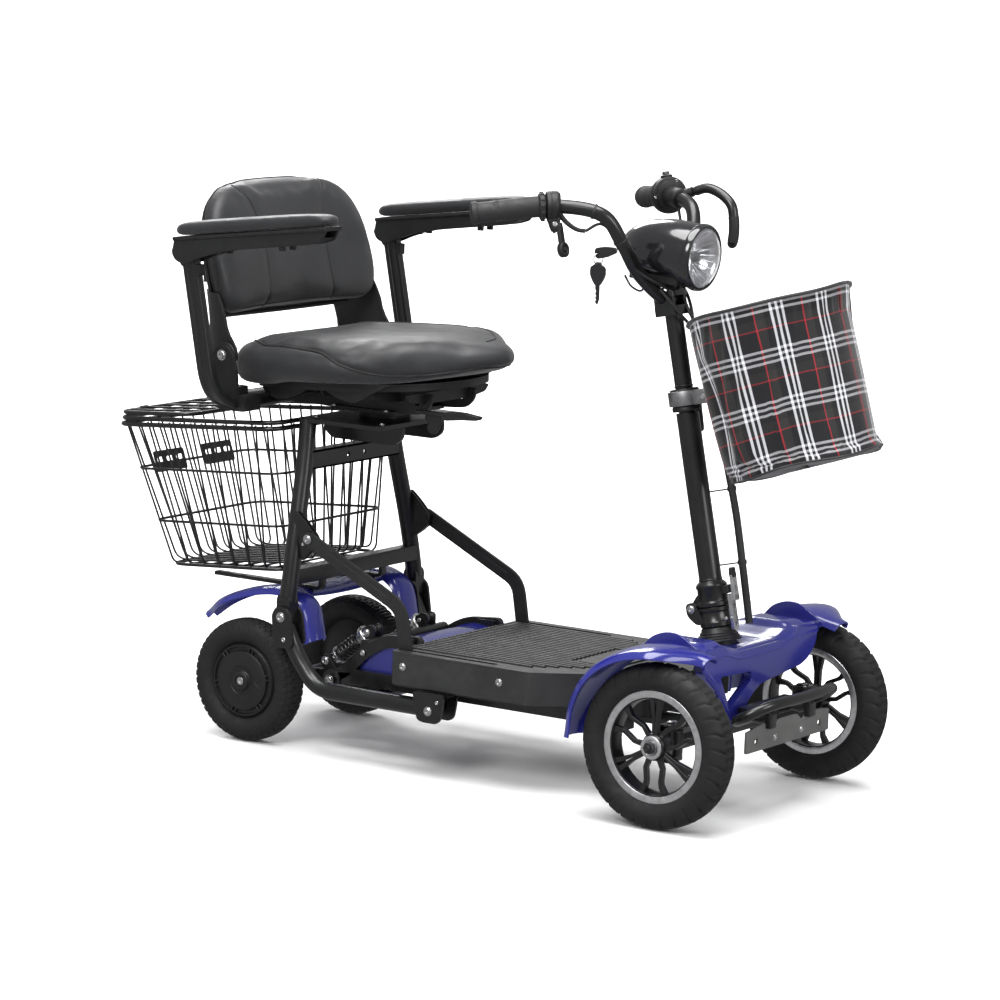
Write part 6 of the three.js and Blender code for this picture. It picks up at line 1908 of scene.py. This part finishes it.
def stitches(shape, line, gap, radius, mat):
    """Small raised stitches along a line."""
    run = even(line, max(2, int(np.linalg.norm(np.diff(line, axis=0), axis=1).sum() / gap)))
    for a, b in zip(run[:-1:2], run[1::2]):
        shape.add(tube([a, a + (b - a) * 0.8], radius, 6), mat)


SEAT_HALF = [(-452, 150), [((-452, 196), (-412, 212), (-300, 212)), ((-210, 212), (-140, 180), (-92, 112)),
                           ((-60, 68), (-20, 36), (-18, 0))]]


def seat_outline():
    left = bezier(*SEAT_HALF, count=14)
    right = [(x, -y) for x, y in left[::-1]]
    nose = [(-18.0, 0.0)]
    return np.array([tuple(q) for q in left] + nose + right)


def tilted(x, y, z):
    """Tips a point with the seat cushion."""
    a = math.radians(3)
    dx, dz = x + 452, z - 600
    return (-452 + dx * math.cos(a) - dz * math.sin(a), y, 600 + dx * math.sin(a) + dz * math.cos(a))


def seat_space(x, y, depth):
    """Depth 0 is the underside and 1 the top; the nose is thinner, and the middle is dished."""
    thick = 64 - 16 * smooth_step((x + 150) / 130) - 2.5 * smooth_step((abs(y) - 120) / 90)
    low = -5.0 + 14 * smooth_step((x + 170) / 150) - 8 * smooth_step((-330 - x) / 60)
    dish = -5.0 * math.exp(-((x + 250) / 130) ** 2 - (y / 120) ** 2)
    return tilted(x, y, 600 + low + (thick - low) * depth + dish * depth ** 3)


def add_seat_cushion():
    outline = seat_outline() * vec(0.985, 0.98) + vec(-4, 0)
    rings = [(0.02, 0.02), (0.5, 0.0), (0.86, 0.01), (0.955, 0.06), (0.99, 0.2), (1.0, 0.42), (0.995, 0.62),
             (0.97, 0.8), (0.92, 0.91),
             (0.84, 0.965), (0.6, 0.995), (0.3, 1.0), (0.02, 1.0)]
    seams = []
    for g in (1, -1):
        plan = spline([(-446, g * 128, 1.0), (-380, g * 176, 0.93), (-310, g * 186, 0.9),
                       (-262, g * 190, 0.78), (-220, g * 192, 0.5), (-170, g * 172, 0.28),
                       (-120, g * 132, 0.16), (-74, g * 78, 0.12), (-42, g * 30, 0.1), (-36, 0, 0.1)], 60)
        seams.append([seat_space(x, y, d) for x, y, d in plan])
    face = spline([seat_space(x, y, 1.0) for x, y in ((-452, 112), (-380, 128), (-300, 138), (-220, 136),
                                                      (-160, 112), (-112, 78), (-78, 36), (-70, 0))], 50)
    piece = soft_pad("seat_cushion_pad", "seat", pad_shell(outline, rings, seat_space), ["seat_cushion"],
                     seams, 5.0,
                     hold=lambda q: q[2] < 604 + (q[0] + 452) * 0.052, reach=5.0, depth=3.4, width=3.8)
    piping = Shape()
    for seam in seams:
        snug = snap(piece, seam, 0.4)
        piping.add(tube(snug, 1.7, 8), 0)
        stitches(piping, snap(piece, [tuple(vec(*q) + vec(0, 0, 7)) for q in seam[:34]], 0.1), 3.2, 0.45, 0)
    piping.add(tube(snap(piece, face, 0.3), 1.1, 8), 0)
    piping.build("seat_cushion_piping", "seat", [THREAD], "vinyl", angle=60)


def snap(piece, points, lift):
    """Moves points to the nearest place on a piece, raised by lift."""
    graph = bpy.context.evaluated_depsgraph_get()
    body = piece.evaluated_get(graph)
    inverse = piece.matrix_world.inverted()
    out = []
    for q in points:
        found, spot, normal, _ = body.closest_point_on_mesh(inverse @ place(q))
        if found:
            world = piece.matrix_world @ (spot + normal * lift / 1000)
            out.append(np.array(world) * 1000 - vec(OFFSET, 0, 0))
        else:
            out.append(np.asarray(q, float))
    return np.array(out)


BACK_LEAN = math.radians(14.5)
BACK_FRAME = np.array([(math.cos(BACK_LEAN), 0, -math.sin(BACK_LEAN), -458), (0, 1, 0, 0),
                       (math.sin(BACK_LEAN), 0, math.cos(BACK_LEAN), 690), (0, 0, 0, 1)])


def back_space(y, h, depth):
    """Points on the backrest pad, in its own leaning frame; its sides wrap forward."""
    wrap = 15 * (abs(y) / 210) ** 2.2
    crown = 5 * (1 - (y / 210) ** 2) * math.sin(math.pi * max(0, min(1, h / 222))) * depth
    return (-21 + 40 * depth + wrap + crown, y, h)


def back_outline():
    half = bezier((165, 0), [((196, 0), (210, 20), (210, 70)), ((210, 170), (172, 218), (90, 222)),
                             ((60, 224), (30, 225), (0, 225))], 14)
    return np.array([tuple(q) for q in half] + [(0.0, 225.0)] + [(-y, h) for y, h in half[::-1]]
                    + [(0.0, 0.0)])


def in_back(point):
    return BACK_FRAME[:3, :3] @ vec(*point) + BACK_FRAME[:3, 3]


def add_backrest():
    outline = back_outline()
    middle = outline.mean(0)
    outline = middle + vec(0, 4) + (outline - middle) * vec(1.02, 0.975)
    rings = [(0.02, 0.0), (0.6, 0.0), (0.93, 0.02), (0.985, 0.12), (1.0, 0.36), (0.995, 0.6), (0.965, 0.8),
             (0.91, 0.91), (0.82, 0.97), (0.55, 0.995), (0.02, 1.0)]
    verts, faces = pad_shell(outline, rings, lambda y, h, d: back_space(y, h, d))
    seams = []
    for g in (1, -1):
        line = spline([(g * 118, 224, 0.72), (g * 116, 212, 0.95), (g * 96, 176, 1.0), (g * 84, 120, 1.0),
                       (g * 84, 60, 1.0), (g * 92, 14, 0.97), (g * 94, 2, 0.8)], 60)
        seams.append([in_back(back_space(y, h, d)) for y, h, d in line])
    hem = [in_back(back_space(y, 9, 0.95)) for y in np.linspace(-182, 182, 60)]
    piece = soft_pad("backrest_pad", "backrest", (verts, faces), ["backrest_cushion"], seams + [hem],
                     4.6,
                     hold=lambda q: (np.linalg.inv(BACK_FRAME) @ np.append(q, 1))[0] < -15, reach=6.0,
                     place=BACK_FRAME, depth=3.2, width=3.2)
    trim = Shape()
    for seam in seams:
        trim.add(tube(snap(piece, seam, 0.2), 0.9, 8), 0)
    trim.add(tube(snap(piece, hem, 0.3), 1.1, 8), 0)
    edge = [in_back(back_space(*(middle + (q - middle) * 1.0), 0.3)) for q in outline[:-1]]
    trim.add(tube(snap(piece, [q for q in edge], 0.6), 1.5, 8), 0)
    trim.build("backrest_seams", "backrest", [THREAD], "vinyl", angle=60)

    frame_part = Shape()
    for _, s in SIDES:
        frame_part.add(wrapped_leg(s), 0)
        frame_part.add(rod((-430, s * 206, 640), (-430, s * 220.4, 640), 9, 28, 0.8), 1)
        frame_part.add(lathe([(9.2, 0), (19, 0), (20, 1), (20, 5.5), (18.5, 6.6), (9.2, 6.6)], 40,
                             (-430, s * 213.6, 640), (0, s, 0), closed=True), 0)
    shell = middle + (back_outline() - middle) * vec(0.985, 0.975)
    back_verts, back_faces = pad_shell(shell, [(0.03, -0.19), (0.86, -0.17), (0.96, -0.1), (0.985, 0.02),
                                               (0.985, 0.14), (0.955, 0.14), (0.94, -0.03), (0.03, -0.06)],
                                       lambda y, h, d: back_space(y, h, d))
    frame_part.add(([tuple(in_back(q)) for q in back_verts], back_faces), 0)
    frame_part.add(box(-530, -522, -150, 150, 744, 784), 0)
    for y in (-110, -40, 40, 110):
        frame_part.bolt(in_back((-33, y, 70)), (-0.98, 0, -0.2), 4.0)
    frame_part.build("backrest_shell", "backrest", [MOULDED, SILVER], "black_plastic", ["backrest_frame"],
                     bevel=0.9)


def wrapped_leg(s):
    """A broad moulded leg that curves round the cushion's rear corner, from its hinge up to the backrest."""
    rows = [(626, 0.04, 0.62), (634, 0.0, 0.74), (644, 0.0, 0.82), (652, 0.02, 0.84), (662, 0.07, 0.85),
            (672, 0.13, 0.87), (684, 0.18, 0.9),
            (700, 0.2, 0.94), (716, 0.24, 0.94), (736, 0.3, 0.94)]
    corners = [vec(-410, 213), vec(-434, 213.5), vec(-462, 205), vec(-486, 184), (vec(-504, 158))]
    line = spline([(q[0], q[1], 0) for q in corners], 101)
    outer, inner = [], []
    for z, start, end in rows:
        lean = (z - 690) * -0.16 if z > 690 else 0.0
        ring_out, ring_in = [], []
        for t in np.linspace(start, end, 15):
            k = t * 100
            q = vec(*(np.interp(k, np.arange(101), line[:, c]) for c in range(3)))
            ahead = line[min(int(k) + 1, 100)] - line[max(int(k) - 1, 0)]
            normal = unit(vec(-ahead[1], ahead[0], 0))
            for ring, shift in ((ring_out, 2.6), (ring_in, -2.6)):
                p = q + normal * shift
                ring.append((p[0] + lean, s * p[1], z))
        outer.append(ring_out)
        inner.append(ring_in)
    n, m = len(rows), 15
    verts = [q for row in outer for q in row] + [q for row in inner for q in row]
    faces = []
    for r in range(n - 1):
        for c in range(m - 1):
            a = r * m + c
            faces.append((a, a + 1, a + m + 1, a + m))
            faces.append((n * m + a, n * m + a + m, n * m + a + m + 1, n * m + a + 1))
    border = [c for c in range(m)] + [r * m + m - 1 for r in range(1, n)] + [(n - 1) * m + c
            for c in range(m - 2, -1, -1)] + [r * m for r in range(n - 2, 0, -1)]
    for i, a in enumerate(border):
        b = border[(i + 1) % len(border)]
        faces.append((a, b, n * m + b, n * m + a))
    return verts, faces


def arm_height(x):
    return 828 + (x + 465) * 0.125


def add_armrest(side_name, s):
    post = Shape()
    groove_section = [(14, -7), (14, 7), (6.5, 7), (5.5, 5.2), (-5.5, 5.2), (-6.5, 7), (-14, 7), (-14, -7),
                      (-6.5, -7), (-5.5, -5.2), (5.5, -5.2), (6.5, -7)]
    smooth = rounded(groove_section, 1.6, 2)
    path = bent([(-412, s * 92, 564), (-412, s * 275, 564), (-459, s * 275, 797)], 62, 14)
    post.add(sweep(path, smooth, side=(1, 0, 0)), 0)
    ear = rounded([(-474, 782), (-448, 778), (-444, 796), (-450, 816), (-464, 822), (-479, 814),
                   (-480, 796)], 12, 5)
    post.add(plate(ear, "xz", s * 275 - 6, s * 275 + 6), 0)
    post.add(plate(rounded([(-447, 768), (-436, 770), (-436, 788), (-445, 788)], 2), "xz", s * 275 - 7, s
                   * 275 + 7), 2)
    post.bolt((-465, s * 281, 808), (0, s, 0), 6.8)
    post.build(f"armrest_upright_{side_name}", "seat", [BLACK_PAINT, SILVER, MOULDED], "black_paint",
               [f"armrest_post_{side_name}"], bevel=0.5)

    tray = Shape()
    y = s * 275
    h = arm_height
    cheek = rounded([(-479, h(-479) + 4), (-481, h(-481) - 12), (-484, 806), (-478, 794), (-464, 788),
                     (-450, 790), (-432, 798), (-400, h(-400) - 27), (-370, h(-370) - 24),
                     (-320, h(-320) - 23), (-212, h(-212) - 22), (-190, h(-190) - 18), (-178, h(-178) + 4)],
                     6, 4)
    for side_y in (-16.5, 16.5):
        tray.add(plate(cheek, "xz", y + side_y - 3, y + side_y + 3), 0)
    floor_path = [(-436, y, 806), (-400, y, h(-400) - 23), (-370, y, h(-370) - 20), (-215, y, h(-215) - 19),
                  (-190, y, h(-190) - 14)]
    tray.add(sweep(bent(floor_path, 12), rounded_rect(17, 2, 1, 2), side=(0, 1, 0)), 0)
    top_path = [(-480, y, h(-480) + 0.5), (-180, y, h(-180) + 0.5)]
    tray.add(sweep(top_path, rounded_rect(22.5, 3.2, 2.4, 3), side=(0, 1, 0)), 0)
    for x in (-392, -268):
        tray.add(box(x - 5, x + 5, y - 17, y - 11, h(x) - 29, h(x) - 18), 0)
        tray.add(box(x - 5, x + 5, y + 11, y + 17, h(x) - 29, h(x) - 18), 0)
    tray.build(f"armrest_tray_shell_{side_name}", f"armrest_{side_name}", [MOULDED, SILVER],
               "black_plastic", [f"armrest_tray_{side_name}"], bevel=1.2)

    outline = np.array(rounded([(-479, -27), (-176, -22), (-176, 22), (-479, 27)], 20, 8))

    def space(x, across, depth):
        sag = -3.0 * smooth_step((x + 225) / 45)
        return (x, y + across, arm_height(x) + 4.6 + 22 * depth * (1 - 0.10 * (abs(across) / 27) ** 2)
                + sag * depth)

    rings = [(0.03, 0.0), (0.9, 0.0), (0.97, 0.08), (0.995, 0.25), (1.0, 0.5), (0.985, 0.75), (0.94, 0.92),
             (0.84, 0.985), (0.5, 1.0), (0.03, 1.0)]
    seam = [space(*q, 0.2) for q in np.vstack([outline, outline[:1]])]
    soft_pad(f"armrest_cushion_{side_name}", f"armrest_{side_name}", pad_shell(outline, rings, space),
             [f"armrest_pad_{side_name}"], [seam], 3.2,
             hold=lambda q: q[2] < arm_height(q[0]) + 7, reach=2.5, depth=1.2, width=1.8)


add_seat_pan()
add_seat_cushion()
add_backrest()
for side_name, s in SIDES:
    add_armrest(side_name, s)


# ---- floor, light and camera ----------------------------------------------------------------
def add_stage():
    mesh = bpy.data.meshes.new("floor")
    reach, rise, radius, steps = 9.0, 6.0, 3.0, 16
    rows = [(-reach, 0.0)] + [(reach - radius + radius * math.sin(a), radius - radius * math.cos(a))
                              for a in np.linspace(0, math.pi / 2, steps)] + [(reach, rise)]
    verts = [(x, y, z - 0.0005) for y, z in rows for x in (-2.5 * reach, 2.5 * reach)]
    mesh.from_pydata(verts, [], [(2 * i, 2 * i + 1, 2 * i + 3, 2 * i + 2) for i in range(len(rows) - 1)])
    floor = bpy.data.objects.new("floor", mesh)
    bpy.context.scene.collection.objects.link(floor)
    n = Nodes("floor_paper", 0.85)
    n.colour(n.ramp(n.noise(2.0), [(0.0, (0.93, 0.93, 0.93)), (1.0, (0.95, 0.95, 0.95))]))
    mesh.materials.append(n.material)
    for polygon in mesh.polygons:
        polygon.use_smooth = True
    floor.rotation_euler[2] = math.radians(CAMERA_TURN)
    floor.visible_glossy = False


def add_light(name, at, target, size, power):
    lamp = bpy.data.lights.new(name, "AREA")
    lamp.shape = "DISK"
    lamp.size = size
    lamp.energy = power
    holder = bpy.data.objects.new(name, lamp)
    bpy.context.scene.collection.objects.link(holder)
    holder.location = at
    holder.rotation_euler = (Vector(target) - Vector(at)).to_track_quat("-Z", "Y").to_euler()


# Each light's name, place, target, size in metres and power in watts.
LIGHTS = [
    ("overhead", (0.4, -0.6, 5.2), (0, 0, 0.3), 4.5, 380),
    ("key", (0.6, -4.2, 3.6), (0, 0, 0.4), 2.2, 130),
    ("fill", (4.4, -0.6, 2.2), (0.1, 0, 0.4), 2.2, 60),
    ("rim", (-3.2, 3.0, 3.4), (0, 0, 0.6), 2.2, 120),
    ("backdrop", (-2.6, 3.8, 4.6), (-4.4, 6.6, 1.2), 3.5, 420),
]

CAMERA_TURN, CAMERA_RISE, CAMERA_ROLL = 33.74, 8.83, 1.81
CAMERA_REACH, CAMERA_LENS = 6.7586, 4219 / 1000 * 36
CAMERA_TARGET = place((-37.6, 0, 423.8))


def add_camera():
    camera = bpy.data.objects.new("camera", bpy.data.cameras.new("camera"))
    bpy.context.scene.collection.objects.link(camera)
    turn, rise, roll = (math.radians(a) for a in (CAMERA_TURN, CAMERA_RISE, CAMERA_ROLL))
    back = Vector((math.sin(turn) * math.cos(rise), -math.cos(turn) * math.cos(rise), math.sin(rise)))
    right = Vector((math.cos(turn), math.sin(turn), 0))
    up = back.cross(right)
    right, up = math.cos(roll) * right + math.sin(roll) * up, -math.sin(roll) * right + math.cos(roll) * up
    spot = CAMERA_TARGET + back * CAMERA_REACH
    camera.matrix_world = Matrix((right, up, back)).transposed().to_4x4()
    camera.location = spot
    camera.data.sensor_width = 36
    camera.data.lens = CAMERA_LENS
    camera.data.clip_end = 60
    bpy.context.scene.camera = camera


def add_world():
    world = bpy.data.worlds.new("studio")
    bpy.context.scene.world = world
    world.use_nodes = True
    sky = world.node_tree.nodes["Background"]
    sky.inputs["Color"].default_value = (1.0, 1.0, 1.0, 1.0)
    sky.inputs["Strength"].default_value = 0.34


add_stage()
add_world()
for light in LIGHTS:
    add_light(*light)
add_camera()
bpy.context.scene.view_settings.view_transform = "Standard"
